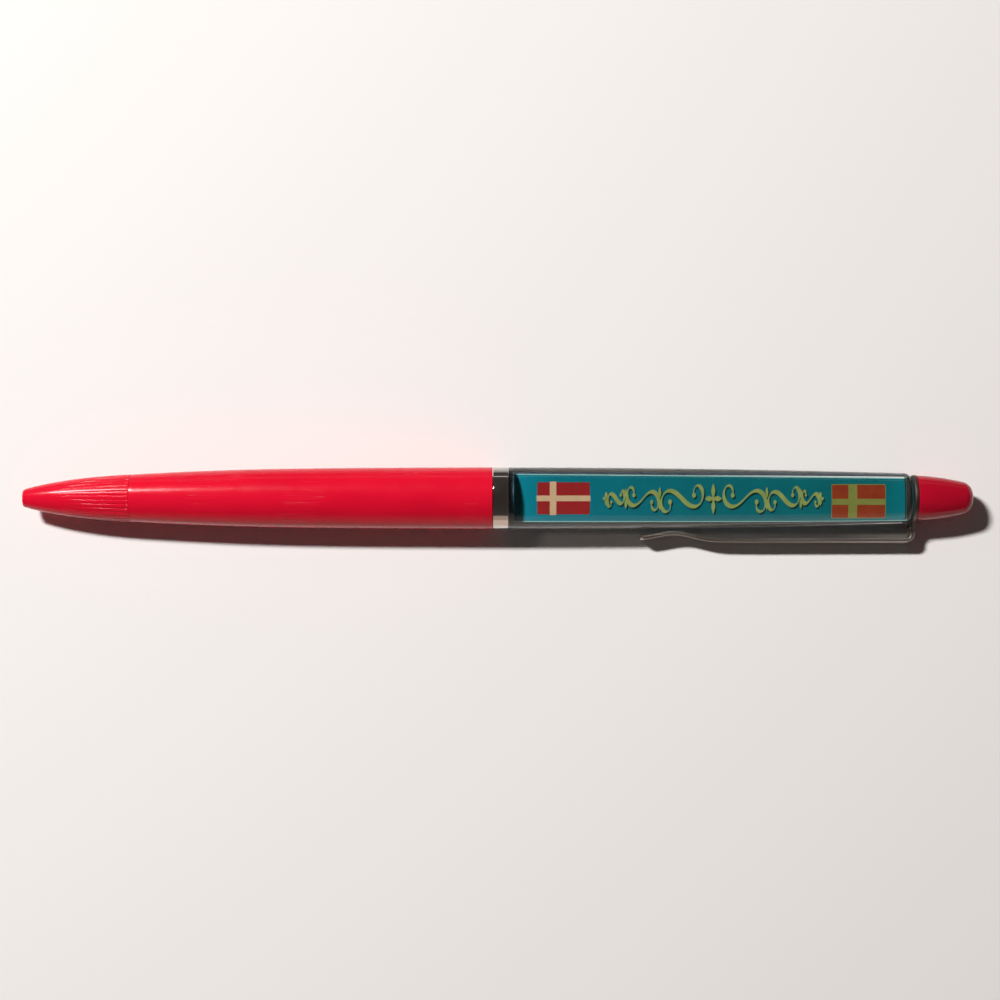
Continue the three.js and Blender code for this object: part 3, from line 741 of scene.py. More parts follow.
def clip_section(middle, across, half, low, high, lean):
    """A rounded upright section of the strip. lean is how far its top stands nearer to the pen."""
    corner = min(CLIP_EDGE_ROUND, half * 0.9)
    loop = []
    for turn, (side, level) in enumerate([(1, high), (-1, high), (-1, low), (1, low)]):
        for i in range(5):
            angle = math.radians(90 * turn + 90 * i / 4)
            out = side * (half - corner) + corner * math.cos(angle)
            up = level - (corner if level == high else -corner) + corner * math.sin(angle)
            shift = lean * (up - low) / (high - low)
            at = middle + across * out
            loop.append((at.x, AXIS_Y + at.y + shift, up))
    return loop


def clip_strip():
    """The sprung strip: it leans a little at the arm, stands upright further on and ends in a rounded tip."""
    low, high = CLIP_LOW.z, CLIP_STRIP_TOP
    path = clip_path()
    length = [0]
    for a, b in zip(path, path[1:]):
        length.append(length[-1] + (b - a).length)
    tip, towards = path[-1], (path[-1] - path[-2]).normalized()
    body = [point for point, run in zip(path, length) if run < length[-1] - CLIP_TIP_CORNER - 0.1]
    stations = body + [tip - towards * (step + 0.001) for step in CLIP_TIP_STEPS]
    sections = []
    for i, point in enumerate(stations):
        before = stations[max(i - 1, 0)]
        after = stations[min(i + 1, len(stations) - 1)]
        along = (after - before).normalized()
        across = Vector((-along.y, along.x))
        to_end = (tip - point).length
        side = math.sqrt(max(0, 1 - (1 - min(to_end / CLIP_TIP_CORNER, 1)) ** 2))
        thin = math.sqrt(max(0.02, 1 - (1 - min(to_end / CLIP_TIP_THINNING, 1)) ** 2))
        drop = CLIP_TIP_CORNER * (1 - side)
        from_bend = min(max((CLIP_MIDDLE - point.x) / (CLIP_KNEE_FROM_WASHER * 0.8), 0), 1)
        lean = CLIP_REAR_LEAN * (1 - from_bend)
        half = CLIP_THICKNESS / 2 * thin
        sections.append(clip_section(point, across, half, low + drop, high - drop, lean))
    return swept(sections)


def upright_plate(outline, start, end):
    """An outline of (y, z) offsets from the axis, given a thickness along the pen and an eased rim."""
    ease, part = CLIP_PLATE_EASE, CLIP_PLATE_EASE * 0.3
    middle = sum((Vector(point) for point in outline), Vector((0, 0))) / len(outline)
    sections = []
    for station, inset in [(start, ease), (start + part, part), (start + ease, 0),
                           (end - ease, 0), (end - part, part), (end, ease)]:
        loop = []
        for point in outline:
            out = Vector(point) - middle
            inward = middle + out * (1 - inset / out.length)
            loop.append((station, AXIS_Y + inward.x, AXIS_Z + inward.y))
        sections.append(loop)
    return swept(sections)


def united(name, shapes, cutters=()):
    """One closed mesh from overlapping closed shapes, less the cutters."""
    objects = []
    for i, shape in enumerate([*shapes, *cutters]):
        objects.append(linked(f"{name}_{i}", build_mesh(f"{name}_{i}", [shape])))
    whole = objects[0]
    for i, other in enumerate(objects[1:], 1):
        step = whole.modifiers.new(f"step_{i}", "BOOLEAN")
        step.operation = "UNION" if i < len(shapes) else "DIFFERENCE"
        step.solver = "EXACT"
        step.object = other
    bpy.context.view_layer.update()
    solid = whole.evaluated_get(bpy.context.evaluated_depsgraph_get())
    mesh = bpy.data.meshes.new_from_object(solid)
    mesh.name = name
    for made in objects:
        data = made.data
        bpy.data.objects.remove(made)
        bpy.data.meshes.remove(data)
    return mesh


def ring_outline(radius):
    """Offsets from the axis of a circle round it."""
    return [(radius * math.sin(angle), radius * math.cos(angle)) for angle in around(128)]


def make_clip():
    """Washer and arm as one punched plate, with the sprung strip on it. The washer and the arm start and end
    a hair apart, as faces in one plane spoil the union."""
    start, end = CLIP_HIGH.x - CLIP_THICKNESS, CLIP_HIGH.x
    low, high = CLIP_LOW.z - AXIS_Z, CLIP_STRIP_TOP - AXIS_Z
    reach = -CLIP_OFFSET + 1.5 * CLIP_BEND_RADIUS
    arm = eased([
        (reach, low),
        (-CLIP_ARM_ROOT_OFFSET, -CLIP_ARM_ROOT_DROP),
        (-CLIP_ARM_ROOT_DROP, CLIP_ARM_TOP_RISE),
        (reach, high)])
    washer = upright_plate(ring_outline(CLIP_WASHER_RADIUS), start + 0.01, end - 0.01)
    hole = ring_outline(STUD_RADIUS + FIT_GAP)
    punch = swept([[(station, AXIS_Y + y, AXIS_Z + z) for y, z in hole] for station in (start - 1, end + 1)])
    mesh = united("spring_clip", [washer, upright_plate(arm, start + 0.02, end - 0.02)], [punch])
    # The washer and arm take the second finish, the darker steel that is painted shade.
    mesh.polygons.foreach_set("material_index", [1] * len(mesh.polygons))
    strip = build_mesh("clip_strip", [clip_strip()])
    whole = bmesh.new()
    for part in (mesh, strip):
        whole.from_mesh(part)
    whole.to_mesh(mesh)
    whole.free()
    bpy.data.meshes.remove(strip)
    make_piece("spring_clip", mesh, [CLIP_STEEL, PAINTED_SHADE_STEEL], "upper", ["pocket_clip"],
               sharp_angle=38)


make_nose()
make_barrel()
make_refill_point()
make_ball()
make_band()
make_tube()
make_cap()
make_clip()


# Printed title film

FLAG_RED = print_ink("print_brick_red", "#942024", "#8b2221")
FLAG_CREAM = print_ink("print_cream", "#c9a888", "#bfa27c")
FLAG_RUST = print_ink("print_rust_red", "#8b371c", "#7f321b")
FLAG_GREEN = print_ink("print_leaf_green", "#7c8040", "#72783a")
PALE_EDGE = print_ink("print_pale_edge", "#a9d8d2", "#9accc9")
GREY_EDGE = print_ink("film_edge_grey", "#3d4345", "#33393b")
GOLD_GREEN = print_ink("print_gold_green", "#8b9a58", "#7b8c4c")
DEEP_SHADOW = print_ink("print_deep_shadow", "#032b2a", "#042524")
# The teal print is lighter at its two ends: painted light against the shade from the band, the plug and the
# stop there.
TITLE_GROUND_PAINTED_LIGHT = graded_film("print_teal_ground_painted_light", "X", TITLE_LOW.x, TITLE_HIGH.x, [
    (0.0, "#038396"), (0.1, "#036c7c"), (0.45, "#04606a"), (0.92, "#025d62"), (1.0, "#026e78")], 0.1)
ORNAMENT_LEFT = 17.6
ORNAMENT_RIGHT = 48.4
ORNAMENT_LEVEL = -0.05
# Width, height and turns of each scroll, from the middle outwards
SCROLLS = [(6.4, 2.9, 0.92), (4.8, 2.5, 0.9), (2.6, 1.7, 0.85)]
SCROLL_TILT = math.radians(32)
SCROLL_GAP = 0.4
FIRST_SCROLL = 1.6
NIB_ANGLE = math.radians(50)
NIB_THIN, NIB_THICK = 0.14, 0.56
DROP_SHADOW = (0.2, -0.19)
FLAG_RIM = 0.09
PRINT_LIFT = 0.003
PRINT_THICKNESS = 0.012
PRINT_DEPTH = PRINT_THICKNESS * 0.8
# How far each long edge of the film lies from the axis, at its front and its rear end
FILM_EDGES = {1: (2.82, 2.36), -1: (2.76, 2.85)}


def film_edge(station, side):
    """Offset of one long edge of the title film from the axis. The film narrows on one side only."""
    front, rear = FILM_EDGES[side]
    share = (station - TITLE_LOW.x) / (TITLE_HIGH.x - TITLE_LOW.x)
    return side * (front + (rear - front) * share)


def make_title_film():
    """The film that carries the title's prints, with pale cut edges along its two long sides."""
    ends = ((TITLE_LOW.x, -1), (TITLE_HIGH.x, -1), (TITLE_HIGH.x, 1), (TITLE_LOW.x, 1))
    outline = [(station, AXIS_Y + film_edge(station, side)) for station, side in ends]
    corners, faces = plate(outline, TITLE_LOW.z, TITLE_HIGH.z)[:2]
    film = (corners, faces, [0, 0, 1, 0, 1, 0])
    make_piece("title_film", [film], [TITLE_GROUND_PAINTED_LIGHT, PALE_EDGE], "upper", ["title_panel"])


def make_print(name, surface, rows, inks):
    """A printed piece of the upper half, from rows of an outline, its layer and its ink."""
    make_piece(name, [surface(*row) for row in rows], inks, "upper")


def title_level(layer):
    """The height at which a layer of print starts on the title film."""
    return TITLE_HIGH.z + PRINT_LIFT + layer * PRINT_THICKNESS


def on_title(outline, layer, finish):
    """A printed shape on the film's face, given by offsets from the pen's axis."""
    low = title_level(layer)
    return plate([(x, AXIS_Y + y) for x, y in outline], low, low + PRINT_DEPTH, finish)


def cross_flag(name, left, right, middle, half, bar_left, bar_right, bar_half, overhang, inks):
    """A plain flag with an upright and a level bar, printed as four fields and a cross over them."""
    fields = box_outline(left, right, middle - half, middle + half, 0.22)
    upright = box_outline(bar_left, bar_right, middle - half - overhang, middle + half + overhang)
    level = box_outline(left - overhang, right + overhang, middle - bar_half, middle + bar_half)
    rows = [(fields, 0, 0), (upright, 1, 1), (level, 2, 1)]
    if len(inks) > 2:
        rim = box_outline(left - FLAG_RIM, right + FLAG_RIM, middle - half - FLAG_RIM,
                          middle + half + FLAG_RIM, 0.26)
        rows.append((rim, -0.6, 2))
    make_print(name, on_title, rows, inks)


def scroll(turns, tilt, steps=56):
    """Points of a lying S whose curve tightens evenly from its middle to its two curled ends."""
    x = y = 0.0
    half = []
    for i in range(steps):
        heading = tilt - turns * 2 * math.pi * ((i + 0.5) / steps) ** 2
        x += math.cos(heading) / steps
        y += math.sin(heading) / steps
        half.append((x, y))
    return [(-a, -b) for a, b in reversed(half)] + [(0.0, 0.0)] + half


def fitted(points, left, width, height, middle, flip):
    """Points scaled to a width and height, moved to start at left, and upside down where flip is -1."""
    low, high = min(p[0] for p in points), max(p[0] for p in points)
    along = width / (high - low)
    tall = height / (max(p[1] for p in points) - min(p[1] for p in points))
    return [(left + (x - low) * along, middle + flip * y * tall) for x, y in points]


def pen_stroke(points, layer, finish):
    """A line drawn with a broad nib: thick across the nib's angle, thin along it, with pointed ends."""
    low = title_level(layer)
    high = low + PRINT_DEPTH
    last = len(points) - 1
    sections = []
    for i, point in enumerate(points):
        ahead = Vector(points[min(i + 1, last)]) - Vector(points[max(i - 1, 0)])
        pressed = abs(math.sin(math.atan2(ahead.y, ahead.x) - NIB_ANGLE)) ** 1.5
        ends = min(1, 6 * i / last, 6 * (last - i) / last)
        half = (NIB_THIN + (NIB_THICK - NIB_THIN) * pressed) / 2 * (0.35 + 0.65 * ends)
        across = Vector((-ahead.y, ahead.x)).normalized() * half
        a, b = Vector(point) + across, Vector(point) - across
        sections.append([(a.x, AXIS_Y + a.y, low), (b.x, AXIS_Y + b.y, low), (b.x, AXIS_Y + b.y, high),
                         (a.x, AXIS_Y + a.y, high)])
    return swept(sections, finish)


def ornament(layer, finish, shift):
    """One printing of a traditional band of scrolls and leaves, mirrored about its middle."""
    middle = (ORNAMENT_LEFT + ORNAMENT_RIGHT) / 2
    strokes, marks = [], []
    for side in (-1, 1):
        reach = FIRST_SCROLL
        for index, (width, height, turns) in enumerate(SCROLLS):
            flip = 1 if index % 2 == 0 else -1
            line = fitted(scroll(turns, SCROLL_TILT), reach, width, height, ORNAMENT_LEVEL, flip)
            line = [(middle + side * x, y) for x, y in line]
            step = layer + 0.1 * index
            strokes.append((line, step))
            marks += [(disc_outline(*end, 0.09 + 0.03 * width), step + 0.05) for end in (line[0], line[-1])]
            joint = middle + side * (reach + width + SCROLL_GAP / 2)
            for way in (-1, 1):
                leaf = leaf_outline(joint, ORNAMENT_LEVEL, 0.45 * height, 0.42, way * math.pi / 2)
                marks.append((leaf, step + 0.02))
            reach += width + SCROLL_GAP
        marks.append((disc_outline(middle + side * (reach + 0.1), ORNAMENT_LEVEL, 0.2), layer))
    for quarter in range(4):
        length = 1.7 if quarter % 2 else 1.3
        marks.append((leaf_outline(middle, ORNAMENT_LEVEL, length, 0.6, quarter * math.pi / 2), layer + 0.4))
    marks.append((disc_outline(middle, ORNAMENT_LEVEL, 0.27), layer + 0.5))
    shapes = [pen_stroke(moved(line, shift), step, finish) for line, step in strokes]
    return shapes + [on_title(moved(outline, shift), step, finish) for outline, step in marks]


def make_scrollwork():
    """The ornament in gold-green ink, over its printed drop shadow."""
    shapes = ornament(0, 1, DROP_SHADOW) + ornament(2, 0, (0, 0))
    make_piece("title_scrollwork", shapes, [GOLD_GREEN, DEEP_SHADOW], "upper")


def make_title_edges():
    """The pale unprinted edges of the film."""
    inset, width = 0.01, 0.07
    start, end = PLUG_END, TITLE_HIGH.x - 0.02
    low, high = [film_edge(end, side) - side * (inset + width) for side in (-1, 1)]
    rows = [(box_outline(end - 0.06, end, low, high), 0, 0)]
    for side in (-1, 1):
        a, b = film_edge(start, side) - side * inset, film_edge(end, side) - side * inset
        rows.append(([(start, a), (end, b), (end, b - side * width), (start, a - side * width)], 0, 0))
    make_print("title_edges", on_title, rows, [PALE_EDGE])


cross_flag("title_flag_left", left=6.05, right=14.1, middle=-0.02, half=1.78, bar_left=7.97, bar_right=8.97,
           bar_half=0.31, overhang=0.1, inks=[FLAG_RED, FLAG_CREAM])
cross_flag("title_flag_right", left=51.2, right=59.35, middle=-0.4, half=1.88, bar_left=53.7,
           bar_right=55.05, bar_half=0.33, overhang=0.0, inks=[FLAG_RUST, FLAG_GREEN, FLAG_GREEN])
make_scrollwork()
make_title_film()
make_title_edges()


# Printed scene on the other side. It is drawn upright, with its top towards -Y, in rows of an outline,
# its layer and its ink.

SKY_AND_SEA = graded_film("print_sky_and_sea", "Y", SCENE_LOW.y, SCENE_HIGH.y, [
    (0.0, "#5f9fc6"), (0.30, "#a9cfdd"), (0.425, "#f0dcb4"), (0.435, "#2f7f9c"), (0.62, "#1f6f92"),
    (1.0, "#134f74")], 0.06)
SCENE_INKS = [print_ink("print_" + name, colour, faded) for name, colour, faded in [
    ("distant_blue_green", "#5b8f93", "#4f8489"),
    ("meadow_green", "#5f8f42", "#53823a"),
    ("dark_leaf_green", "#2f6034", "#28552e"),
    ("cream_wall", "#ecdcb6", "#e2cfa4"),
    ("ochre_wall", "#d39a45", "#c78c3b"),
    ("rose_wall", "#c96f5c", "#bd6351"),
    ("tile_red", "#a8402c", "#993826"),
    ("quay_grey", "#8d8a82", "#7f7c74"),
    ("window_dark", "#2b3640", "#232d36"),
    ("white", "#f4f3ee", "#eae8e1"),
    ("boat_blue", "#1f4a86", "#1a4178"),
    ("boat_red", "#b3262b", "#a52126")]]
HILL, MEADOW, LEAF, CREAM, OCHRE, ROSE, TILE, STONE, DARK, WHITE, BLUE, RED = range(len(SCENE_INKS))
HORIZON = 0.35
QUAY_LEFT, QUAY_RIGHT = 5.0, 24.5
QUAY_TOP, QUAY_FOOT = -0.25, -0.7
# Left and right end, base, height, swell and phase of each skyline, with its layer and ink
RIDGES = [
    (2.8, 30.0, HORIZON, 0.95, 9, 0.4, 0, HILL), (38.0, 61.6, HORIZON, 0.7, 7, 2.1, 0, HILL),
    (3.2, 27.5, QUAY_TOP, 0.95, 6, 1.2, 1, MEADOW), (49.5, 61.4, HORIZON - 0.45, 0.9, 5, 0.6, 1, MEADOW)]
CLOUDS = [(33.0, 1.75, 0.42), (44.5, 1.45, 0.34), (27.6, 2.0, 0.3)]
QUAY_POSTS = 14
HOUSE_GAP = 0.42
EAVES = 0.1
WINDOW_PITCH = 0.62
WINDOW_HEIGHT = 0.22
TOWER_MIDDLE = 56.4
TOWER_FOOT, TOWER_TOP = 0.2, 1.75
# Station, height above the axis, size and ink of each sailing boat, and its shapes in shares of its size
SAILING_BOATS = [(32.4, 0.2, 1.0, WHITE), (41.2, -0.35, 1.35, WHITE), (46.8, 0.25, 0.75, CREAM)]
HULL = [(-0.42, 0), (-0.32, -0.14), (0.34, -0.14), (0.52, 0)]
MAIN_SAIL = [(0.04, 0.06), (0.46, 0.06), (0.04, 1.0)]
FORE_SAIL = [(-0.36, 0.06), (-0.03, 0.06), (-0.03, 0.85)]
GULLS = [(36.2, 1.3), (37.4, 1.62), (50.6, 1.7), (30.4, 1.25)]
WAVE_ROWS = [(-0.95, 2.1, 0.8), (-1.3, 2.6, 1.0), (-1.7, 3.2, 1.25), (-2.1, 3.8, 1.5)]
CREST_COUNT = 20
BUOY_STATION = 47.0
# Width, wall height, gable height and ink of each house
HOUSES = [
    (1.9, 0.85, 0.55, CREAM), (1.5, 1.1, 0.6, ROSE), (2.2, 0.8, 0.6, OCHRE), (1.6, 1.15, 0.55, CREAM),
    (2.0, 0.95, 0.65, ROSE), (1.4, 0.75, 0.5, CREAM), (2.1, 1.05, 0.6, OCHRE), (1.7, 0.85, 0.55, CREAM)]


def under(surface, outline, layer, finish):
    """A printed shape on the face that looks down from a film, drawn upright about the pen's axis."""
    high = surface - PRINT_LIFT - layer * PRINT_THICKNESS
    return plate([(x, AXIS_Y - up) for x, up in outline], high - PRINT_DEPTH, high, finish)


def on_front(outline, layer, finish):
    return under(FRONT_LOW.z, outline, layer, finish)


def on_scene(outline, layer, finish):
    return under(SCENE_LOW.z, outline, layer, finish)


def ridge(left, right, base, height, swell, phase, steps=48):
    """A skyline that rises and falls above its base and meets it at both ends."""
    line = [(left, base)]
    for i in range(1, steps):
        share = i / steps
        wave = 0.6 + 0.25 * math.sin(swell * share + phase) + 0.15 * math.sin(2.7 * swell * share + 2 * phase)
        rise = height * wave * math.sqrt(math.sin(math.pi * share))
        line.append((left + (right - left) * share, base + rise))
    return line + [(right, base)]


def coast():
    """Far hills, near meadows and trees, and small clouds."""
    for *skyline, layer, ink in RIDGES:
        yield ridge(*skyline), layer, ink
    for i in range(15):
        up, size = 0.62 + 0.12 * math.cos(1.7 * i), 0.26 + 0.09 * math.sin(2.3 * i)
        yield disc_outline(5.4 + 1.42 * i, up, size, 1.15), 2, LEAF
    for i in range(6):
        yield disc_outline(50.8 + 0.62 * i, 0.42 + 0.1 * math.sin(2.1 * i), 0.24, 1.2), 2, LEAF
    for x, up, size in CLOUDS:
        for part in (-1, 0, 1):
            puff = disc_outline(x + part * size * 1.2, up - abs(part) * size * 0.2,
                                size * (1 - 0.25 * abs(part)), 0.62)
            yield puff, 0.2 * (part + 1), WHITE


def house(left, width, wall, gable, ink):
    """A house on the quay: its wall, its roof and its windows."""
    top = QUAY_TOP + wall
    yield box_outline(left, left + width, QUAY_TOP, top), 4.2, ink
    yield [(left - EAVES, top), (left + width + EAVES, top), (left + width / 2, top + gable)], 5.2, TILE
    columns = max(2, round(width / WINDOW_PITCH))
    for column in range(columns):
        x = left + width * (column + 0.5) / columns
        for sill in (0.18, 0.62):
            if sill + WINDOW_HEIGHT < wall:
                low = QUAY_TOP + sill
                yield box_outline(x - 0.1, x + 0.1, low, low + WINDOW_HEIGHT), 5.4, DARK


def town():
    """A row of gabled houses behind a stone quay."""
    yield box_outline(QUAY_LEFT, QUAY_RIGHT, QUAY_FOOT, QUAY_TOP), 3, STONE
    for i in range(QUAY_POSTS):
        x = QUAY_LEFT + 0.5 + (QUAY_RIGHT - QUAY_LEFT - 1.0) * i / (QUAY_POSTS - 1)
        yield box_outline(x - 0.05, x + 0.05, QUAY_FOOT - 0.12, QUAY_TOP + 0.12), 4, DARK
    left = QUAY_LEFT + 0.8
    for width, wall, gable, ink in HOUSES:
        yield from house(left, width, wall, gable, ink)
        left += width + HOUSE_GAP


def tower_band(low, high):
    """One band of the lighthouse's tower, which narrows upwards."""
    halves = [0.36 - 0.14 * (up - TOWER_FOOT) / (TOWER_TOP - TOWER_FOOT) for up in (low, high)]
    return tapered_outline(TOWER_MIDDLE, low, high, *halves)


def lighthouse():
    """A banded tower on a low rock, with a lantern and a pointed roof."""
    middle, top = TOWER_MIDDLE, TOWER_TOP
    yield ridge(54.3, 58.8, -0.05, 0.5, 6, 2.0), 3, STONE
    yield tower_band(TOWER_FOOT, top), 4, WHITE
    for low in (0.55, 1.15):
        yield tower_band(low, low + 0.3), 5, RED
    yield box_outline(middle - 0.32, middle + 0.32, top, top + 0.07), 5, DARK
    yield box_outline(middle - 0.15, middle + 0.15, top + 0.07, top + 0.3), 4.5, OCHRE
    yield [(middle - 0.22, top + 0.3), (middle + 0.22, top + 0.3), (middle, top + 0.52)], 5, RED


def sized(outline, x, up, size):
    """An outline drawn about (0, 0), brought to its size and place."""
    return [(x + size * a, up + size * b) for a, b in outline]


def sails():
    """Sailing boats on the far water and gulls over it."""
    for x, up, size, ink in SAILING_BOATS:
        yield sized(HULL, x, up, size), 3, BLUE if size > 1 else RED
        for sail in (MAIN_SAIL, FORE_SAIL):
            yield sized(sail, x, up, size), 3.2, ink
    for x, up in GULLS:
        for way in (1, -1):
            yield leaf_outline(x, up, 0.42, 0.1, math.radians(90 - way * 62)), 3 + 0.2 * way, WHITE


def wavelets():
    """Short light strokes on the water, closer together towards the horizon."""
    for row, (up, pitch, length) in enumerate(WAVE_ROWS):
        for i in range(int((TITLE_HIGH.x - PLUG_END - 2) / pitch)):
            x = PLUG_END + 1.0 + pitch * (i + 0.37 * row % 1) + 0.3 * math.sin(5.1 * i + row)
            yield leaf_outline(x, up + 0.06 * math.sin(3.7 * i), length, 0.09, 0), 3, HILL


def near_water():
    """Wave crests, reeds and a buoy printed on the clear film in front of the drifting boat."""
    foot = -(FRONT_HIGH.y - FRONT_LOW.y) / 2
    pitch = (SCENE_HIGH.x - PLUG_END - 1.0) / CREST_COUNT
    for i in range(CREST_COUNT):
        left = PLUG_END + 0.6 + pitch * i
        crest = profile_curve([(left, foot + 0.05), (left + pitch * 0.55, foot + 0.1),
                               (left + pitch * 0.62, foot + 0.75), (left + pitch, foot + 0.3)], steps=8)
        yield crest + [(left + pitch, foot + 0.05)], 0.2 * (i % 2), BLUE
        yield leaf_outline(left + pitch * 0.5, foot + 0.38, 0.9, 0.12, 0.12), 1, WHITE
    for i in range(9):
        length, lean = 1.1 + 0.35 * math.sin(1.9 * i), math.radians(90 + 9 * math.sin(2.7 * i))
        yield leaf_outline(4.2 + 0.33 * i, foot + 0.1, length, 0.14, lean), 1.2 + 0.2 * (i % 2), LEAF
    yield tapered_outline(BUOY_STATION, foot + 0.35, foot + 1.25, 0.4, 0.1), 1, RED
    yield disc_outline(BUOY_STATION, foot + 1.35, 0.14), 1.2, OCHRE


# Drifting boat

BOAT_START, BOAT_LENGTH = FLOAT_LOW.x, FLOAT_HIGH.x - FLOAT_LOW.x
BOAT_HEIGHT = FLOAT_HIGH.y - FLOAT_LOW.y
BOAT_FACE = FLOAT_LOW.z + 0.03
# Corners of the boat in shares of its length and height from stern and keel, with their rounding
BOAT_CORNERS = [
    (0.1, 0, 0.2), (0.86, 0, 0.3), (1, 0.42, 0.1), (0.62, 0.36, 0.05), (0.62, 0.66, 0.08), (0.5, 0.66, 0.04),
    (0.5, 1, 0.06), (0.38, 1, 0.06), (0.38, 0.66, 0.04), (0.16, 0.66, 0.08), (0.16, 0.36, 0.05),
    (0, 0.36, 0.08)]
BOAT_BANDS = [
    ([(0.105, 0.02), (0.85, 0.02), (0.98, 0.395), (0.62, 0.335), (0.012, 0.335)], 0, BLUE),
    ([(0.105, 0.02), (0.85, 0.02), (0.878, 0.1), (0.082, 0.1)], 1, RED),
    ([(0.03, 0.27), (0.93, 0.29), (0.935, 0.31), (0.025, 0.3)], 1, WHITE),
    (box_outline(0.165, 0.615, 0.515, 0.53), 0.5, BLUE),
    (box_outline(0.385, 0.495, 0.68, 0.98), 0, RED),
    (box_outline(0.385, 0.495, 0.78, 0.84), 1, WHITE),
    (box_outline(0.385, 0.495, 0.92, 0.98), 1, DARK)]


def on_boat(outline, layer, finish):
    """A shape printed on the boat's face, in shares of its length and height from stern and keel."""
    placed = [(BOAT_START + x * BOAT_LENGTH, (y - 0.5) * BOAT_HEIGHT) for x, y in outline]
    return under(BOAT_FACE, placed, layer, finish)


def boat_paint():
    """Blue hull, red below the water, a funnel and two decks, with portholes and windows."""
    yield from BOAT_BANDS
    for i in range(11):
        x = 0.12 + 0.066 * i
        porthole = [(x + (u - x) / BOAT_LENGTH, 0.2 + (v - 0.2) / BOAT_HEIGHT)
                    for u, v in disc_outline(x, 0.2, 0.1)]
        yield porthole, 1, CREAM
    for i in range(8):
        x = 0.19 + 0.052 * i
        yield box_outline(x, x + 0.032, 0.4, 0.49), 0, DARK
    for i in range(6):
        x = 0.2 + 0.058 * i if i < 3 else 0.36 + 0.055 * (i - 1)
        yield box_outline(x, x + 0.034, 0.55, 0.62), 0, DARK


def make_boat():
    """A small passenger boat cut from white film and painted."""
    outline = eased([(BOAT_START + x * BOAT_LENGTH, AXIS_Y + (0.5 - y) * BOAT_HEIGHT, corner)
                     for x, y, corner in BOAT_CORNERS])
    hull = plate(outline, BOAT_FACE, FLOAT_HIGH.z, len(SCENE_INKS))
    shapes = [hull] + [on_boat(*row) for row in boat_paint()]
    make_piece("drifting_boat", shapes, [*SCENE_INKS, WHITE_CORE], "float", ["float_boat"])


for piece_name, piece_rows in {
    "scene_coast": coast(), "scene_town": town(), "scene_lighthouse": lighthouse(), "scene_sails": sails(),
    "scene_wavelets": wavelets(),
}.items():
    make_print(piece_name, on_scene, piece_rows, SCENE_INKS)
make_print("foreground_print", on_front, near_water(), SCENE_INKS)
make_boat()


# Carried-over nodes

def give(node, finish):
    """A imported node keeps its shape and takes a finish."""
    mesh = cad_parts[node].data
    mesh.materials.clear()
    mesh.materials.append(finish)


def give_sides(node, finish):
    """The long upright faces of a packed film take a second finish."""
    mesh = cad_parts[node].data
    mesh.materials.append(finish)
    for face in mesh.polygons:
        if abs(face.normal.y) > 0.9:
            face.material_index = 1


for node_name, node_finish in {
    "tube_plug": PLUG_PAINTED_SHADE, "plug_seal": RUBBER, "panel_stop": CLEAR_BLOCK, "panel_backing": WHITE_CORE,
    "scene_panel": SKY_AND_SEA, "foreground_film": CLEAR_FILM, "cam_sleeve": ACETAL,
    "retaining_ring": SPRING_WIRE, "guide_sleeve": ACETAL, "push_rod": ACETAL,
    "refill_tube": POLYPROPYLENE, "refill_plug": STOPPER_RED, "refill_spring": SPRING_WIRE,
}.items():
    give(node_name, node_finish)
give_sides("panel_backing", GREY_EDGE)


# Floor, light and camera

FLOOR_HALF = 1500
BACKDROP = "#f2efed"


def glow(tree, colour):
    """Light of its own, as bright as its colour."""
    return add(tree, "Emission", {"Color": linear(colour), "Strength": 1})


def floor_card():
    """Pale matt card. Far from the pen it shows the eye the same pale level as the studio round it. Near the
    pen it glows as painted reflections: dark behind the pen for gloss and clear plastic, and a dimmer warm
    glow before it for gloss."""
    material, tree = new_material("pale_matt_card")
    card = add(tree, "BsdfPrincipled", {
        "Base Color": linear("#f4f1ef"), "Roughness": 0.95, "Specular IOR Level": 0.1})
    here = add(tree, "TexCoord").outputs["Object"]
    away = add(tree, "VectorMath", {0: here}, operation="LENGTH").outputs["Value"]
    beyond = combined(tree, "MULTIPLY", spread(tree, away, 0.115, 0.28), seen_rays(tree))
    shown = either(tree, beyond, card, glow(tree, "#f1eeec"))
    path = add(tree, "LightPath").outputs
    mirrored = path["Is Glossy Ray"]
    bent = combined(tree, "MULTIPLY", path["Is Transmission Ray"], 0.5)
    both = combined(tree, "MAXIMUM", mirrored, bent)
    # Painted reflections: strips of floor that glow a set colour to gloss and clear-plastic rays instead of
    # showing the lit card.
    for near, far, rays, colour in ((0.008, 0.026, both, "#4a4442"), (-0.009, -0.016, mirrored, "#dcc5b6")):
        side = spread(tree, place(tree, "Y"), near, far)
        shown = either(tree, combined(tree, "MULTIPLY", side, rays), shown, glow(tree, colour))
    return shown_by(material, shown)


def make_floor():
    half = FLOOR_HALF
    square = [(-half, -half, 0), (half, -half, 0), (half, half, 0), (-half, half, 0)]
    mesh = build_mesh("floor", [(square, [[0, 1, 2, 3]], [0])])
    mesh.materials.append(floor_card())
    floor = linked("floor", mesh)


def seen_rays(tree):
    """1 for rays that show the surroundings to the eye: straight, mirrored or through clear plastic. It is 0
    for light that matt surfaces gather, which comes from the lamp and the low fill alone."""
    path = add(tree, "LightPath").outputs
    first = combined(tree, "MAXIMUM", path["Is Camera Ray"], path["Is Glossy Ray"])
    clear = combined(tree, "MAXIMUM", first, path["Is Transmission Ray"])
    return combined(tree, "MULTIPLY", clear, unscattered(tree))


def unscattered(tree):
    """1 until a ray has met a matt surface, then 0."""
    depth = add(tree, "LightPath").outputs["Diffuse Depth"]
    return spread(tree, depth, 0, 1, 1, 0)


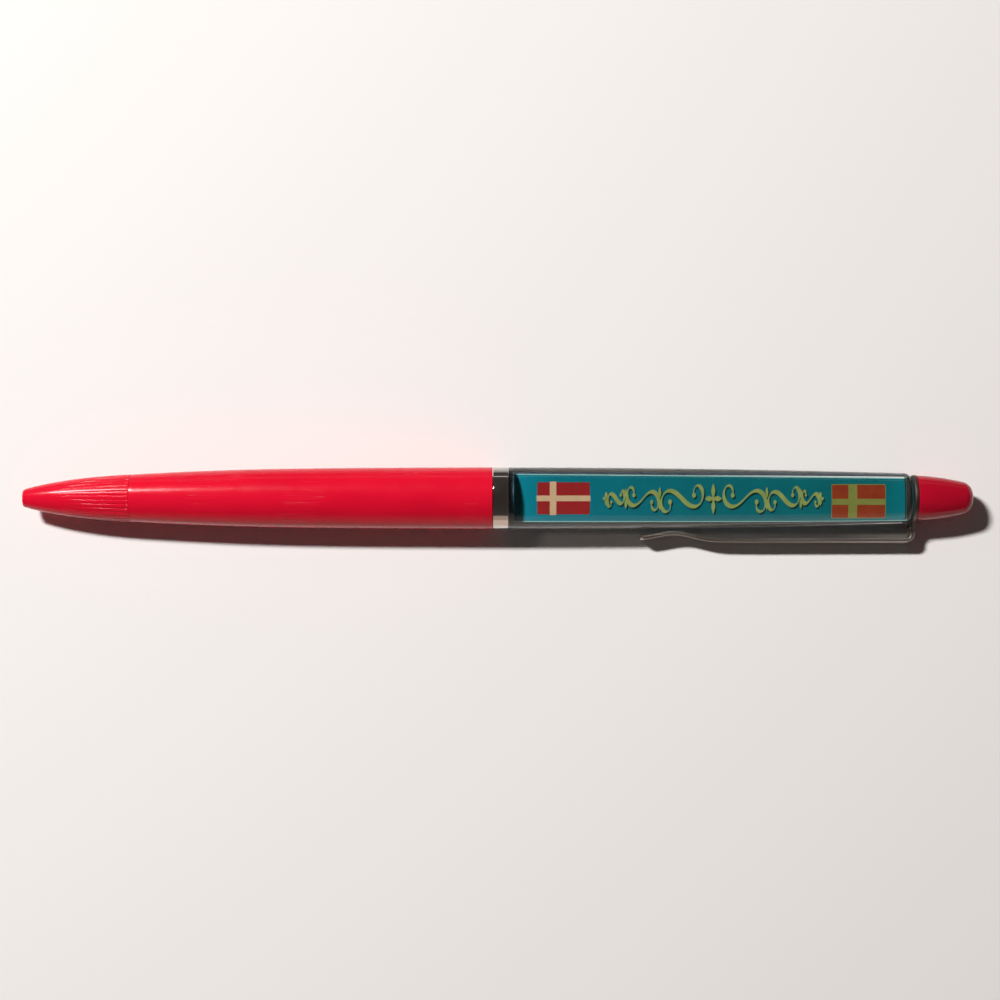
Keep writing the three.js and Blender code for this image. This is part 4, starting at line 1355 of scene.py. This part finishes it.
def make_surroundings():
    """A pale backdrop to the eye, and a low even fill. What gloss and clear plastic mirror is a pale horizon
    under a dim ceiling, with a broad warm wall on the clip's side."""
    world = bpy.data.worlds.new("studio")
    world.use_nodes = True
    tree = world.node_tree
    tree.nodes.clear()
    towards = add(tree, "TexCoord").outputs["Generated"]
    apart = add(tree, "SeparateXYZ", {0: towards}).outputs
    ceiling = ramp(tree, apart["Z"], [
        (0.0, BACKDROP), (0.03, "#d9d5d2"), (0.08, "#46403e"), (1.0, "#38322f")])
    room = blend(tree, spread(tree, apart["Y"], -0.92, -0.95), ceiling, "#b09b8f")
    direct = add(tree, "LightPath").outputs["Is Camera Ray"]
    backdrop = blend(tree, direct, room, BACKDROP)
    shown = add(tree, "Background", {"Color": backdrop, "Strength": 1})
    fill = add(tree, "Background", {"Color": linear("#fff4ee"), "Strength": 0.045})
    mixed = either(tree, seen_rays(tree), fill, shown)
    tree.links.new(mixed.outputs[0], add(tree, "OutputWorld").inputs[0])
    bpy.context.scene.world = world


def area_light(name, shape, size, energy, at, along):
    """An area light that faces the pen, with its longer side along a direction. Its size and place are in
    metres."""
    light = bpy.data.lights.new(name, "AREA")
    light.shape = shape
    light.size, light.size_y = size
    light.energy = energy
    holder = linked(name, light)
    holder.location = at
    away = holder.location.normalized()
    side = (Vector(along) - away * Vector(along).dot(away)).normalized()
    holder.rotation_euler = Matrix((side, away.cross(side), away)).transposed().to_euler()
    return holder


def make_lamp():
    """One oval lamp, high on the left and behind. It is longer along the pen, where shadows are softer."""
    holder = area_light("lamp", "ELLIPSE", size=(0.13, 0.07), energy=8.7, at=(-0.385, 0.364, 0.7),
                        along=(1, 0, 0))
    holder.data.color = (1.0, 0.985, 0.97)
    holder.visible_glossy = False
    holder.visible_transmission = False


def make_window():
    """A small bright window behind the pen. Glossy plastic mirrors it as a streak, and it gives no light to
    matt surfaces."""
    holder = area_light("window", "RECTANGLE", size=(0.28, 0.09), energy=6.0, at=(-0.435, 0.6, 0.67),
                        along=(1, -0.6, 0))
    holder.visible_diffuse = False
    holder.data.use_nodes = True
    tree = holder.data.node_tree
    emission = next(node for node in tree.nodes if node.type == "EMISSION")
    tree.links.new(unscattered(tree), emission.inputs["Strength"])


def make_camera():
    """Straight above the pen, as the photograph was taken."""
    camera = bpy.data.cameras.new("camera")
    camera.lens = 85.5
    camera.sensor_width = 36
    holder = linked("camera", camera)
    holder.location = Vector((0.35, 0.86, 370.3)) * MM
    bpy.context.scene.camera = holder


make_floor()
make_surroundings()
make_lamp()
make_window()
make_camera()
bpy.context.scene.view_settings.view_transform = "Standard"
